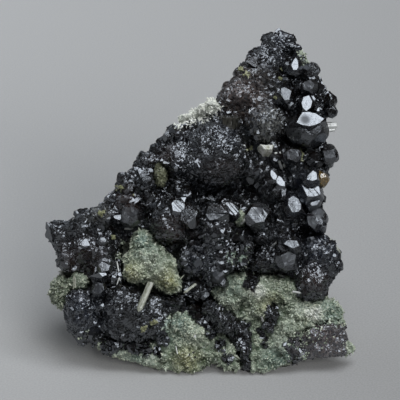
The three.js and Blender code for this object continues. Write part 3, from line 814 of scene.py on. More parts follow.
# %% The proud crystals
ROUNDED = ("lens_crystal", "smooth_flat_crystal")
PROUD = {
    "lens_crystal": ([(32.2, 72.8, 3, 6.7, 5.3, 5.4)], [
        (FLASH, 8.6, 0.9, [(28.7, 74.9), (29.4, 76.3), (30.5, 78), (32.4, 78.1), (34.3, 77.7),
            (36.9, 76.1), (35.8, 75), (34.4, 74.3), (32.5, 73.9), (30.4, 74.2)]),
    ]),
    "peak_lens_crystal": ([(26.2, 92.2, 1.4, 1.9, 2.2, 2.6)], [
        (FLASH, 5.0, 1, [(28.6, 94.5), (29.3, 93.4), (29.35, 91.7), (28.9, 90.7), (27.8, 90.7),
            (27.2, 92.1), (27.8, 93.5)]),
    ]),
    "round_crystal": ([(33.1, 90.4, 1.2, 3, 2.9, 2.8)], [
        ((0.45, 0.3, 0.84), 3.3, 0.2, [(32.5, 92.6), (34.6, 92.2), (35.8, 90.4), (34.2, 89.9),
            (32.9, 91)]),
        (GLOW, 3.3, 0.3, [(31.7, 89.8), (33.6, 89.8), (34.6, 88.2), (33, 87.7)], 5, 0.5),
    ]),
    "flat_grey_crystal": ([(32.3, 85.5, 2.6, 2, 1.8, 2)], [
        (DIM, 5.2, 0.2, [(30.5, 86.8), (32.6, 87.7), (34.1, 86.4), (33.6, 85.2), (32.3, 84.4),
            (30.9, 85)]),
    ]),
    "edge_crystal_upper": ([(39, 81.6, 0.4, 2.2, 2.6, 2.8), (39.3, 78.6, 0.8, 2.2, 2.2, 2.6)], []),
    "small_bright_crystal": ([(34.5, 79.3, 3.4, 1.5, 1.9, 2.2), (33.6, 82.4, 3.4, 1.2, 1.2, 2)], [
        (FLASH, 6.6, 0.7, [(30.3, 80.8), (30.9, 82.6), (32.5, 83.1), (33.4, 81.3), (32.9, 79.4),
            (31.6, 78.4), (30.6, 79.5)]),
        (FLASH, 5.4, 1, [(34.7, 78.4), (34.9, 79.2), (35.7, 79.5), (35.6, 78.4)]),
        (FLASH, 5.2, 1, [(33.3, 83), (33.9, 82.9), (34.4, 81.9), (34.1, 81.5), (33.6, 82.2)]),
    ]),
    "grey_table_crystal": ([(25.4, 82.6, 4, 1.9, 2.2, 2)], [
        (GLOW, 7.1, 0.2, [(24.2, 85.1), (25.2, 85.5), (27.2, 84.4), (26.6, 81.8), (25.2, 81.6),
            (24.1, 83.2)]),
        (GLOW, 6.6, 0.4, [(26, 81.2), (27.6, 81), (27.9, 80.6), (26.9, 79.8), (26.2, 80.5)]),
    ]),
    "smooth_flat_crystal": ([(-20.6, 46.6, 4.6, 3.1, 3, 3.2)], [
        (DIM, 8.0, 0.1, [(-22.9, 48), (-22, 49.7), (-19.6, 49.9), (-18.3, 48.7), (-18.8, 47.3),
            (-21.3, 46.6)]),
    ]),
    "striated_group_crystal": ([(-3.2, 46.6, 6, 3.4, 3, 3.6), (-7, 49, 6, 2.4, 2.4, 3)], [
        (FLASH, 10.0, 0.9, [(-8.4, 50.9), (-7.4, 52), (-5, 51.6), (-4.3, 49.8), (-5.9, 48.3), (-8, 48.8)],
            3, BACKSLANT),
        (LEFT_GLOW, 10.7, 0.35, [(-4.6, 50.2), (-2.2, 49.9), (-0.7, 48.4), (-1.3, 46.8), (-3.9, 44.8),
            (-5.7, 46), (-5.6, 48.2)], -5, 0.8),
        (FLASH, 9.4, 0.9, [(-5.7, 52.7), (-4.1, 52.7), (-4.6, 51.3)]),
    ]),
    "striated_square_crystal": ([(4.2, 47.4, 6.6, 3.2, 2.4, 3.4)], [
        (DIM, 10.9, 0.4, [(2, 48.2), (2.4, 50), (3.8, 50.5), (6, 50.5), (7.2, 49), (7.2, 48.1)], 8, 0),
        (LEFT_GLOW, 11, 0.25, [(1.6, 47.8), (4.2, 48.1), (7.5, 47.7), (5, 46.2), (2.8, 45.9)]),
    ]),
    "striped_bright_crystal": ([(9, 48.3, 5.8, 2.4, 2.1, 2.6)], [
        (STRIPED, 9.2, 1, [(6.5, 50.3), (8, 51.3), (9.6, 51), (11, 49.7), (11.5, 48.6), (10.4, 47.2),
            (9.2, 47.7), (7.9, 48.5), (6.6, 49.5)], 4, BACKSLANT),
    ]),
    "trapezoid_crystal": ([(17.3, 46.9, 6.6, 3.2, 2.7, 3.3)], [
        (BARRED, 10.8, 0.3, [(14, 47.8), (15.4, 49.8), (18.8, 49.5), (20, 47.6), (19, 45.6),
            (16.5, 45.2)], -3, BACKSLANT),
    ]),
    "twin_lens_crystal": ([(22.4, 58.2, 5.8, 1.9, 2, 2.2), (24.3, 56.4, 5.8, 1.8, 1.6, 2.2)], [
        (FLASH, 9.2, 1, [(20.9, 60.2), (21.3, 60.9), (22.3, 60), (22.9, 59), (22.5, 57.9), (21.7, 58.1),
            (21, 59.2)]),
        (FLASH, 9.1, 1, [(22.7, 57.9), (23.4, 59.1), (24.2, 58.6), (25.2, 57), (25.2, 56), (23.7, 56.3),
            (22.8, 57.1)]),
    ]),
    "dark_prow_crystal": ([(23.4, 54.6, 6.8, 2.2, 2.4, 3)], [
        ((0.4, 0.4, 0.82), 9.3, 0.3, [(24.2, 55.7), (25.6, 55.4), (25.4, 53.4), (24.3, 52.9)]),
    ]),
    "large_faced_crystal": ([(25.9, 38.6, 6.2, 3.2, 3, 3.4), (26.4, 33.6, 6.4, 3, 3, 3.6)], [
        (GLOW, 10, 0.3, [(24.8, 38.9), (26, 40), (28.6, 39.9), (29.4, 38.4), (27.6, 37.5)]),
        ((0.3, 0.1, 0.95), 10.2, 0.1, [(24, 35.5), (26.4, 36.6), (28.6, 35.6), (28, 33), (25, 32.2)]),
    ]),
    "bright_barrel_crystal": ([(28, 50, 6.4, 2.1, 2.5, 2.6)], [
        (GLOW, 9.7, 0.42, [(26.3, 52.3), (27.6, 53.2), (29.2, 52.2), (30, 50.6), (29.9, 49.2), (29, 48.4),
            (27.4, 48.3), (26.2, 50.3)]),
    ]),
    "edge_crystal_middle": ([(34.7, 46.6, 3.6, 3.6, 3.2, 3.6), (35.8, 43.6, 3, 2.4, 2.2, 3)], [
        (DIM, 7.8, 0.1, [(31.8, 47), (33.7, 47.1), (34.9, 44.9), (34, 43.1), (32.2, 44.7)]),
    ]),
    "striped_right_crystal": ([(33.2, 57.6, 4, 2.4, 2.4, 2.8), (33.4, 53, 4, 2.6, 2.8, 2.8)], [
        (FLASH, 8.2, 0.8, [(32.2, 59.4), (33.4, 61), (34.7, 60), (34.9, 58.1), (33.4, 57.6), (31, 58.3)],
            2, 0.3),
        (STRIPED, 8.1, 0.9, [(30.3, 56.4), (31.9, 57.3), (35.4, 56.4), (35.8, 53.6), (34, 52.9),
            (31.9, 52.9)], 5, BACKSLANT),
        (FLASH, 7.0, 1, [(32.8, 50.8), (34.1, 52.1), (35.6, 52.9), (35.7, 51.6), (34.8, 50.4),
            (33.4, 50.2)], 2, 0.4),
    ]),
    "edge_crystal_lower": ([(38.6, 66.4, 1.2, 2.3, 2.3, 3), (38.2, 63.6, 1.2, 2, 2, 2.8)], [
        (DIM, 4.8, 0.1, [(36.9, 66.6), (39.8, 67), (40.3, 64.8), (37.3, 64)]),
    ]),
    "blue_faced_crystal": ([(27.4, 64.9, 5, 2, 2, 2.4)], [
        (DIM, 8.0, 0.3, [(25.7, 66.2), (27, 67.2), (29.1, 66.8), (29.3, 64.8), (27.6, 63.7),
            (25.9, 64.3)]),
    ]),
    "grey_slab_crystal": ([(-28.6, 31.2, 5.6, 2.1, 1.9, 2.2)], [
        (GLOW, 8.3, 0.3, [(-30.3, 32.6), (-29.2, 33.6), (-26.8, 32.6), (-27.4, 30.9), (-29.2, 30.6)]),
        (FLASH, 8.6, 1, [(-32.4, 31.4), (-31.5, 31.6), (-30.2, 30.3), (-28, 30.3), (-27.6, 29.6),
            (-29.4, 29), (-30.8, 29.8)]),
    ]),
    "ball_crystal": ([(-30.1, 25.7, 4.8, 2.1, 2.2, 2.4)], [
        (DIM, 7.4, 0.1, [(-31.4, 26.7), (-30.3, 27.4), (-29, 26.9), (-28.7, 25.2), (-29.6, 24.1),
            (-31, 24.2), (-31.7, 25.4)]),
    ]),
    "dark_foot_crystal": ([(5.4, 28.8, 5.8, 2.4, 2.3, 2.8), (7, 27.2, 5.4, 1.7, 1.8, 2.6)], []),
}
print("proud crystals:", len(PROUD), "with", sum(len(faces) for bodies, faces in PROUD.values()), "faces")

# %% [markdown]
# ## The sphalerite crusts
# A crust is a pile of knobs, and each knob is covered by crystals that grew together. The body
# is only what fills the space between them. Crystals of three sizes are planted on it: blocks
# that can be counted, middling ones between them, and a fine sugar in what is left. Neighbouring
# crystals share a direction, as crystals that grew from one seed do, so whole groups flash
# together. Every body therefore has domains, and a crystal takes the turn of the nearest domain,
# with a few degrees of its own.

# %% Sizes and coarse and fine-grained places
# spacing, smallest and largest radius, share kept on coarse and on fine places, size of the
# domains, turn of each crystal within its domain, and the first and last habit
CRUST_SIZES = [
    (2.9, 1.15, 2.3, 0.72, 0, 6, 12, 4, 7),
    (1.4, 0.5, 1.1, 0.8, 0.1, 5, 9, 2, 5),
    (0.76, 0.25, 0.5, 0.6, 1, 2.4, 6, 0, 3),
]
# where only the finest crystals grow: across, up and radius
FINE_PLACES = [
    (5, 67, 10), (36, 34, 7), (-37, 18, 6), (-17, 18, 8), (37.5, 8.5, 8.5), (-40, 40, 5), (24, 98, 6.5),
    (41, 41, 3.5), (39, 45.5, 3.2), (19, 80, 3), (12, 85, 5),
]
print("fine-grained places:", len(FINE_PLACES))

# %% Bright and quiet groups
# groups of crystals that flash together: across, up and radius
BRIGHT_PLACES = [
    (-5.8, 62.8, 5.2), (-35.3, 38.8, 2), (-2.8, 35.4, 2.5), (34.8, 30.9, 3), (-17.2, 59, 2.6),
    (23.6, 99.5, 2.6), (19.2, 98, 1.3), (10.9, 7.5, 2.5), (16.5, 53, 2), (11.8, 55.8, 2), (3.3, 37.2, 2),
    (31, 70, 1.5), (8, 39, 1.5), (-33, 21, 1.5), (26.4, 87.6, 1.5), (13.2, 55.8, 1.3), (24.9, 61.5, 1.3),
    (28.8, 44.1, 1.4), (-19.2, 60.3, 1.4), (36, 87.3, 1.2), (30.9, 41.1, 1.3),
]
# groups that look elsewhere and stay dark
QUIET_PLACES = [
    (16, 90.8, 5), (20, 91.6, 4), (21, 87, 4), (-24, 19, 4), (16.5, 94, 3), (-11.5, 65, 2),
    (-26.1, 36.9, 1.6), (-22.2, 52.2, 1.6), (28.2, 38.4, 1.5), (-24, 24.3, 1.6), (40.5, 28.2, 1.6),
    (-35.1, 28.2, 1.6), (-16.8, 42.6, 1.6), (-7.8, 33.6, 1.6), (13.8, 16.8, 1.5),
]
print("bright groups:", len(BRIGHT_PLACES), "and quiet ones:", len(QUIET_PLACES))

# %% Hollows and pulls
# across, up, radius and depth of the dark hollows between the knobs, and of one smooth bulge
HOLLOWS = [
    (5, 55.5, 7, 3.5), (-1, 55, 4, 2), (-1, 43, 4, 2), (-26, 42.5, 4, 2.5), (-35, 29, 5, 2),
    (-2, 34, 4, 2.5), (12, 39, 3, 2), (24, 70.5, 3, 2.5), (15, 55, 4, 1.5), (30, 63, 3, 2),
    (22, 46, 3, 2), (30, 42, 3, 2), (12, 71, 3, 2), (26.6, 96, 2.4, 3), (21, 95.5, 2, 1.2),
    (-10, 56, 3, 1.5), (-28.2, 16.5, 2.6, 3.6), (-28.4, 22.4, 2, 3), (33, 23, 4, 1.5), (28, 86, 2, 0.8),
    (6.5, 18.5, 5, -2.5),
]
# where a crust or a druse bed is drawn out to the side: across, up, radius, shift across and up
PULLS = [
    (-33, 10, 6, -0.5, -2.6), (-24, 8.5, 5, 0, -1.6), (24, 101.5, 4, 0, 0.6),
    (20.4, 100.6, 2.4, -0.9, 0.4), (27.6, 100.6, 2.4, 0.8, 0.4), (4.2, 1.2, 4.6, 0, 1.9),
    (-22, 37, 4, -1.6, 0), (39.5, 42.8, 4, -2.2, 0), (40, 30.5, 3.5, 1.6, 0), (39, 25.3, 3.5, -1.4, 0),
    (38.6, 47, 3, -1, 0),
]
print("hollows:", len(HOLLOWS), "and pulls:", len(PULLS))

# %% Where one mineral grew over the other
# across, up, radius, and the share of the points there that carry the other mineral
DRUSE_OVER_CRUST = [
    (-6.2, 74.6, 1.8, 1), (-4, 75.6, 1.8, 1), (-2, 76.8, 2, 1), (1, 77.6, 2.4, 1), (4, 79.4, 2.2, 1),
    (-22.6, 38, 2, 1), (-23.6, 35, 1.4, 0.9), (41.5, 16.2, 2.4, 1), (38, 15.8, 1.8, 0.9),
    (34.5, 14.8, 1.4, 0.8), (31.6, 12.8, 1.6, 0.7), (30.6, 9, 1.4, 0.6), (31, 5.5, 1.5, 0.6),
    (36, 12, 4, 0.1), (44, 8, 1.5, 0.6), (9.8, 34.5, 2.2, 0.6), (-8.4, 16, 2, 1), (-9.6, 13.6, 1.6, 0.9),
    (-33, 10, 3, 0.16), (12.4, 42.8, 1.6, 0.5), (31.5, 93.5, 1.8, 1), (30.6, 95.6, 1.3, 1),
]
CRUST_OVER_DRUSE = [
    (-3.9, 20, 1.5, 1), (-1.2, 18.5, 2.2, 1), (0.9, 16, 2.1, 1), (3.4, 12.6, 2, 0.95), (6, 8.8, 1.8, 0.9),
    (8.4, 4.4, 1.5, 0.9), (-2.1, 6.3, 1.2, 0.35), (-22.5, 9.2, 2, 0.95), (-19.3, 8, 2, 0.9),
    (-16, 7.2, 1.8, 0.9), (-13, 6.4, 1.5, 0.8), (-27, 8.5, 2.4, 0.9), (15.3, 27.6, 2, 1), (27, 8, 2, 0.6),
    (28.2, 5.5, 2, 0.7), (28.7, 10.6, 1.6, 0.6), (21.4, 18.6, 2, 0.7), (19, 12.5, 1.2, 0.5),
    (19.5, 9, 1.1, 0.5), (12, 36, 4.2, 0.42), (14, 39, 1.8, 0.8), (15.8, 33.5, 1.2, 0.7),
]
print("druse over crust:", len(DRUSE_OVER_CRUST), "places, crust over druse:", len(CRUST_OVER_DRUSE))


# %% Domains that share a direction
def coarseness(points):
    """1 on coarse-grained places of the face, and 0 on fine-grained ones."""
    coarse = np.ones(len(points))
    for across, up, radius in FINE_PLACES:
        distance = front_distance(points, across, up) / radius
        coarse = np.minimum(coarse, np.clip((distance - 0.85) / 0.3, 0, 1))
    return coarse


def domain_turns(points, size_mm, random):
    """For each point the turn and the number of its domain."""
    low, high = points.min(0), points.max(0)
    count = max(4, int(np.prod((high - low) / (size_mm * MM) + 1)))
    seeds = low + random.random((count, 3)) * (high - low)
    tree = KDTree(count)
    for index, seed in enumerate(seeds):
        tree.insert(Vector(seed), index)
    tree.balance()
    domain = np.array([tree.find(Vector(point))[1] for point in points])
    turns = any_turns(random, count)
    return turns[domain], domain


FLASH_TURN = Vector((1, 1, 1)).rotation_difference(face_direction(*FLASH)).to_matrix()
QUIET_TURN = Vector((1, 1, 1)).rotation_difference(face_direction(*DARK)).to_matrix()
GROUP_SPREAD_DEG = 7


def turned_to_flash(points, turns, random):
    """Turns the crystals of bright groups so that one face of each mirrors the lamp, and those of
    quiet groups so that it mirrors the dark room."""
    for places, turn in ((BRIGHT_PLACES, FLASH_TURN), (QUIET_PLACES, QUIET_TURN)):
        for across, up, radius in places:
            near = front_distance(points, across, up) < radius * random.uniform(0.7, 1.3, len(points))
            turns[near] = slight_turns(random, int(near.sum()), GROUP_SPREAD_DEG) @ np.array(turn)
    return turns


# %% Keeping the proud crystals and the grains in sight
# yellow-green grains of quartz that sit in the crust: across, up, and half their width and height
GRAIN_PLACES = [
    (14.8, 67.8, 0.8, 0.9), (30, 66.6, 0.5, 1.0), (30.3, 64.6, 0.5, 1.2), (-24.1, 55.3, 1.3, 0.9),
    (-19.9, 53.9, 0.8, 0.6), (-29.2, 47.8, 1.0, 0.8), (-25.8, 40.8, 0.6, 0.5), (-16.5, 13.5, 0.8, 0.8),
    (-13.5, 15.6, 0.9, 0.7), (12.5, 91.3, 0.8, 0.5), (24.7, 91.4, 0.5, 0.8), (24, 88.4, 0.5, 0.4),
    (22, 82.3, 0.9, 0.5), (13.9, 89.5, 0.7, 0.7),
]
# balls that wrap each proud face or, on a crystal without any, its bodies
PROUD_BALLS = []
for bodies, faces in PROUD.values():
    if not faces:
        PROUD_BALLS += [(across, up, out + 1, 0.7 * sum(radii) / 3) for across, up, out, *radii in bodies]
    for facing, out, polish, outline, *stripes in faces:
        across, up = (sum(corner[axis] for corner in outline) / len(outline) for axis in (0, 1))
        reach = max(math.dist((across, up), corner) for corner in outline)
        PROUD_BALLS.append((across, up, out, reach))
print("places kept in sight:", len(PROUD_BALLS) + len(GRAIN_PLACES))


def clear_of(points, centre, radius):
    return np.linalg.norm(points - np.array(centre), axis=1) > radius


def clear_of_proud_crystals(points, reach_mm):
    """Where nothing of the given size would stand in front of a proud crystal or a grain."""
    free = np.ones(len(points), bool)
    for across, up, half_width, half_height in GRAIN_PLACES:
        free &= front_distance(points, across, up) > (half_width + half_height) / 2 + 0.5 * reach_mm
    for across, up, out, radius in PROUD_BALLS:
        free &= clear_of(points, on_face(across, up, out), (radius * 0.85 + reach_mm * 0.6) * MM)
    return free


# %% Pressing a surface in and drawing it out
def pull_share(corners, across, up, radius):
    """1 at a place of the front, falling to 0 at the radius."""
    return np.clip(1 - (front_distance(corners, across, up) / radius) ** 2, 0, 1) ** 1.5


def press_in(piece, hollows):
    """Pushes the front surface in at each hollow, most at its middle."""
    corners = corners_of(piece).astype(float)
    frontness = np.clip(numbers(piece.data.vertices, "normal", 3) @ VIEW_AXIS + 0.2, 0, 1)
    for across, up, radius, depth in hollows:
        share = pull_share(corners, across, up, radius)
        corners -= (share * frontness * depth * MM)[:, None] * VIEW_AXIS
    move_corners(piece, corners)


def pull_out(piece, pulls):
    """Draws the surface near each place sideways."""
    corners = corners_of(piece).astype(float)
    for across, up, radius, shift_across, shift_up in pulls:
        share = pull_share(corners, across, up, radius)
        corners += share[:, None] * MM * np.array(face_direction(shift_across, shift_up, 0))
    move_corners(piece, corners)


# %% Growing a crust
LARGEST_AT_RIM, LARGEST_ELSEWHERE = 1.1, 3
SMALLEST_BLOCK = 1.1


def crust_body(node, name):
    """A knobbly body with pressed hollows, which fills the space between the crystals."""
    body = copy_of_node(node, name)
    fill_creases(body, 0.8, 0.55, 3)
    press_in(body, HOLLOWS)
    pull_out(body, PULLS)
    for texture, depth_mm in ((LUMPS, 1.6), (CELLS, 1.2), (GRAINS, 0.4)):
        roughen(body, texture, depth_mm)
    finish_piece(body, crust_finish)
    return body


def places_on_crust(body, neighbours, seed, random, spacing, high, coarse_share, fine_share):
    """Points of one size of crystal, away from neighbours, proud crystals and druse."""
    points, normals = free_points(*points_over(body, spacing, seed), neighbours, 0.55)
    share = fine_share + (coarse_share - fine_share) * coarseness(points)
    keep = (random.random(len(points)) < share) & clear_of_proud_crystals(points, high)
    keep &= ~in_places(points, [place for place in DRUSE_OVER_CRUST if place[3] > 0.5], random)
    return points[keep], normals[keep]


def grow_crust(node, name, neighbours, seed, parts=1, sizes=CRUST_SIZES):
    """The body of a crust, and the crystals on it in one or more pieces."""
    body = crust_body(node, name)
    random = np.random.default_rng(seed)
    centres, radii, turns, kinds, blocks = [], [], [], [], []
    for spacing, low, high, coarse_share, fine_share, domain_mm, turn_deg, first_habit, last_habit in sizes:
        points, normals = places_on_crust(
            body, neighbours, seed, random, spacing, high, coarse_share, fine_share)
        radius = (low + (high - low) * random.random(len(points)) ** 2) * MM
        # at the rim of the silhouette none is large, so that the outline stays knobbly
        rim = np.clip(2.4 - 4 * np.abs(normals @ VIEW_AXIS), 0, 1)
        largest = LARGEST_ELSEWHERE - (LARGEST_ELSEWHERE - LARGEST_AT_RIM) * rim
        radius = np.minimum(radius, largest * MM)
        points = points - normals * (radius * random.uniform(0.4, 0.85, len(points)))[:, None]
        for centre, block in blocks:
            keep = clear_of(points, centre, block * 0.8)
            points, radius = points[keep], radius[keep]
        if not len(points):
            continue
        blocks += [pair for pair in zip(points, radius) if pair[1] > SMALLEST_BLOCK * MM]
        turn, domain = domain_turns(points, domain_mm, random)
        turns.append(turned_to_flash(points, turn @ slight_turns(random, len(points), turn_deg), random))
        habits = last_habit - first_habit + 1
        kinds.append(first_habit + (domain + random.integers(0, 2, len(points))) % habits)
        centres.append(points)
        radii.append(radius)
    centres, radii, turns, kinds = (np.concatenate(part) for part in (centres, radii, turns, kinds))
    shades = random.random(len(radii)) * (0.45 + 0.55 * coarseness(centres))
    stretched = radii[:, None] * random.uniform(*UNEVEN, (len(radii), 3))
    for number, share in enumerate(np.array_split(np.argsort(centres[:, 2]), parts)):
        title = f"{name}_crystals" + (f"_{number + 1}" if parts > 1 else "")
        piece = plant(title, SMALL_HABITS + LARGE_HABITS, kinds[share], centres[share], turns[share],
                      stretched[share], shades[share])
        finish_piece(piece, crust_finish)
    return body


# %% The five crusts
others = [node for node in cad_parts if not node.startswith("sphalerite_")]
crusts = [
    grow_crust("sphalerite_main", "main_crust", others, 11, parts=4),
    grow_crust("sphalerite_lower_left", "lower_left_crust", others, 12),
    grow_crust("sphalerite_lower_middle", "lower_middle_crust", others, 13, sizes=CRUST_SIZES[1:]),
    grow_crust("sphalerite_lower_right", "lower_right_crust", others, 14),
    grow_crust("sphalerite_island", "crust_island", others, 15, sizes=CRUST_SIZES[1:]),
]

# %% [markdown]
# ## Modelling the proud crystals
# A body is cut from a block by the faces of sphalerite at uneven depths, and a rounded one from a
# fine icosphere. Each flat face is made on a small block of its own that grows out of the
# bodies, as intergrown crystals do. One bisect plane cuts the face, and more cut the sides of
# its outline, flaring outwards like the crown of a cut gem. Growth stripes are
# parallel bisect lines that leave the mesh whole. Every second line is then pushed in, so the
# face is a row of low ridges, broad and narrow by turns, as growth leaves them. A hair of a bevel
# makes the edges catch the light.

# %% The bodies
def give_shade(piece, rule):
    """Writes the shade of each face, from its normal, for the material to read."""
    layer = piece.data.attributes.new("shade", "FLOAT", "FACE")
    for number, face in enumerate(piece.data.polygons):
        layer.data[number].value = rule(face.normal)


def put_on_face(piece, centre, radii, random):
    """Turns a unit shape at random, stretches it and moves it to a place of the face."""
    corners = corners_of(piece) @ any_turns(random, 1)[0].T * np.array(radii)
    move_corners(piece, np.array([on_face(*(np.array(centre) + corner)) for corner in corners]))


def crystal_body(centre, radii, rounded, random):
    """A block with the faces of sphalerite at uneven depths, or a ball with a few flats."""
    directions = DODECAHEDRON if rounded else TETRAHEDRON + OTHER_TETRAHEDRON + DODECAHEDRON
    low, high = (0.83, 0.95) if rounded else (0.76, 1.02)
    cuts = [(direction, random.uniform(low, high)) for direction in directions]
    if rounded:
        piece = new_solid("ico_sphere", subdivisions=4, radius=1)
        with editing():
            cut_away(cuts)
        put_on_face(piece, centre, radii, random)
        roughen(piece, LUMPS, 0.9)
        roughen(piece, GRAINS, 0.35)
        bpy.ops.object.shade_smooth_by_angle(angle=math.radians(24))
    else:
        piece = cut_crystal(cuts, SMALL_BLOCK)
        put_on_face(piece, centre, radii, random)
    give_shade(piece, lambda normal: 0.3 if rounded else 0.7)
    return piece


# %% Growth stripes
RIDGE_DEPTH = 0.09
ON_PLANE = 0.01


def slice_mesh(point, direction, **settings):
    bpy.ops.mesh.select_all(action="SELECT")
    bpy.ops.mesh.bisect(plane_co=on_face(*point), plane_no=face_direction(*direction), **settings)


def add_stripes(piece, centre, n, stripes, slant, reach_mm, random):
    """Broad and narrow ridges by turns, on the flat that lies at the centre and looks along n."""
    beside = Vector((math.sin(slant), math.cos(slant), 0)).cross(n).normalized()
    step = 2 * reach_mm / abs(stripes)
    widths = step * np.tile([0.7, 0.3], abs(stripes)) * random.uniform(0.5, 1.5, 2 * abs(stripes))
    lines = np.cumsum(widths) - reach_mm
    for line in lines:
        slice_mesh(centre + beside * line, beside)
    bpy.ops.mesh.select_all(action="DESELECT")
    bpy.ops.object.mode_set(mode="OBJECT")
    plane, normal, sideways = on_face(*centre), face_direction(*n), face_direction(*beside)
    for vertex in piece.data.vertices:
        away = vertex.co - plane
        on_line = np.abs(away.dot(sideways) / MM - lines[::2]).min() < ON_PLANE
        vertex.select = abs(away.dot(normal)) < ON_PLANE * MM and bool(on_line)
    bpy.ops.object.mode_set(mode="EDIT")
    bpy.ops.transform.translate(value=-normal * math.copysign(RIDGE_DEPTH * step * MM, stripes))


# %% The flat faces
def flat_face(facing, out, polish, outline, stripes=0, slant=0, *, random, flare_deg=60):
    """A block whose front is a flat with the given outline."""
    n = Vector(facing).normalized()
    middle = [sum(corner[axis] for corner in outline) / len(outline) for axis in (0, 1)]
    centre = Vector((*middle, out))
    corners = [Vector((across, up, out - (n.x * (across - middle[0]) + n.y * (up - middle[1])) / n.z))
               for across, up in outline]
    reach = max((corner - centre).length for corner in corners)
    piece = new_solid("ico_sphere", subdivisions=2, radius=1)
    put_on_face(piece, centre - n * reach * 0.6, [1.32 * reach] * 3, random)
    with editing():
        slice_mesh(centre, n, use_fill=True, clear_outer=True)
        for first, second in zip(corners, corners[1:] + corners[:1]):
            side = (second - first).cross(n).normalized()
            if side.dot((first + second) / 2 - centre) < 0:
                side = -side
            flare = random.uniform(0.05, 1) * math.radians(flare_deg)
            slice_mesh(first, math.cos(flare) * side + math.sin(flare) * n, use_fill=True, clear_outer=True)
        bpy.ops.mesh.select_all(action="SELECT")
        bpy.ops.mesh.remove_doubles(threshold=0.01 * MM)
        if stripes:
            add_stripes(piece, centre, n, stripes, slant, reach, random)
        bpy.ops.mesh.select_all(action="SELECT")
        bpy.ops.mesh.normals_make_consistent(inside=False)
    # how closely a face has to look along the flat to take its polish, and the shade of the others
    flat, others = (0.995, 0.9) if stripes < 0 else (0.9, 0.6)
    give_shade(piece, lambda normal: polish if normal.dot(face_direction(*n)) > flat else others)
    return piece


# %% Join them into crystals
def proud_crystal(node, random):
    bodies, faces = PROUD[node]
    rounded = node in ROUNDED
    blocks = [crystal_body((across, up, out), radii, rounded, random) for across, up, out, *radii in bodies]
    blocks += [flat_face(*face, random=random) for face in faces]
    piece = join_pieces(blocks)
    bevel_edges(piece, 0.07)
    # the bevel leaves a few triangles without any area, and a hole where one goes
    with editing():
        bpy.ops.mesh.dissolve_degenerate(threshold=0.0001 * MM)
        bpy.ops.mesh.select_all(action="SELECT")
        bpy.ops.mesh.fill_holes(sides=4)
    piece.name = node.replace("_crystal", "") + "_faces"
    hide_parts(node)
    finish_piece(piece, crystal_finish)
    return piece


random = np.random.default_rng(5)
for node in PROUD:
    piece = proud_crystal(node, random)
    print(piece.name, len(piece.data.polygons), "faces")

# %% [markdown]
# ## Green druse
# Druse is a lawn of tiny quartz points, coloured green by the chlorite in them. The bed is the
# packed cushion swollen into clumps. A fine sugar of stubby points covers it, and longer points
# stand among them at every lean. The colour drifts from blue-green through a pale grey-green to
# olive. The tips are paler than the feet, where the chlorite gathers, and a few are almost white.
# Points high on the clumps get painted light, and points in the clefts, the bed and a few places
# get painted shade.

# %% Places where the druse has a tint, as across, up, out and radius in mm
BLUISH = [
    (-17, 40, 9, 5), (37, 18, 6, 6), (-7.5, 14.5, 7, 6), (24, 4, 6, 6), (7, 27, 7, 5), (-20, 5, 5, 6),
    (12, 36, 8, 7),
]
OLIVE = [(-22, 29, 10, 5), (-9, 27, 10, 5), (-4, 3, 7, 5), (21, 20, 8, 4), (-16, 27, 11, 4)]
# painted shade: where the druse lies in shade it is painted a deep, dark green
PAINTED_SHADE_PLACES = [(-43, 25, 3, 7), (7, 27, 7, 3), (-12, 27, 11, 1.5)]
WHITE = [(2, 79.5, 1, 12), (-3, 76.5, 1, 6), (34, 18, 6, 2.5), (17, 25, 8, 2)]
PALE = [
    (-14, 33, 11, 5), (6, 21, 7, 4), (12, 36, 8, 2), (31.5, 94, -3, 3), (-4, 79, 1, 8), (32, 18, 6, 5),
    (21, 16, 8, 4), (-1, 12, 8, 4), (23, 11, 6, 4), (17, 24, 8, 4), (-23, 6, 4, 3.5), (-15, 5, 5, 3.5),
    (45, 6, 2, 4),
]
# each tint covers what comes before it
DRUSE_TINTS = [
    (BLUISH, (0.22, 0.33, 0.29)), (OLIVE, (0.46, 0.43, 0.14)), (PALE, (0.64, 0.7, 0.58)),
    (WHITE, (1, 1, 0.93)), (PAINTED_SHADE_PLACES, (0.08, 0.1, 0.055)),
]
print("tinted places of the druse:", sum(len(places) for places, tint in DRUSE_TINTS))


# %% Druse materials
DARK_FOOT, SHADED, PAINTED_CLEFT_SHADE = (0.07, 0.085, 0.06), (0.05, 0.07, 0.045), (0.045, 0.06, 0.032)
PALE_TIP, WHITE_TIP = (0.8, 0.82, 0.66), (1, 1, 0.93)
QUARTZ_INDEX = 1.54


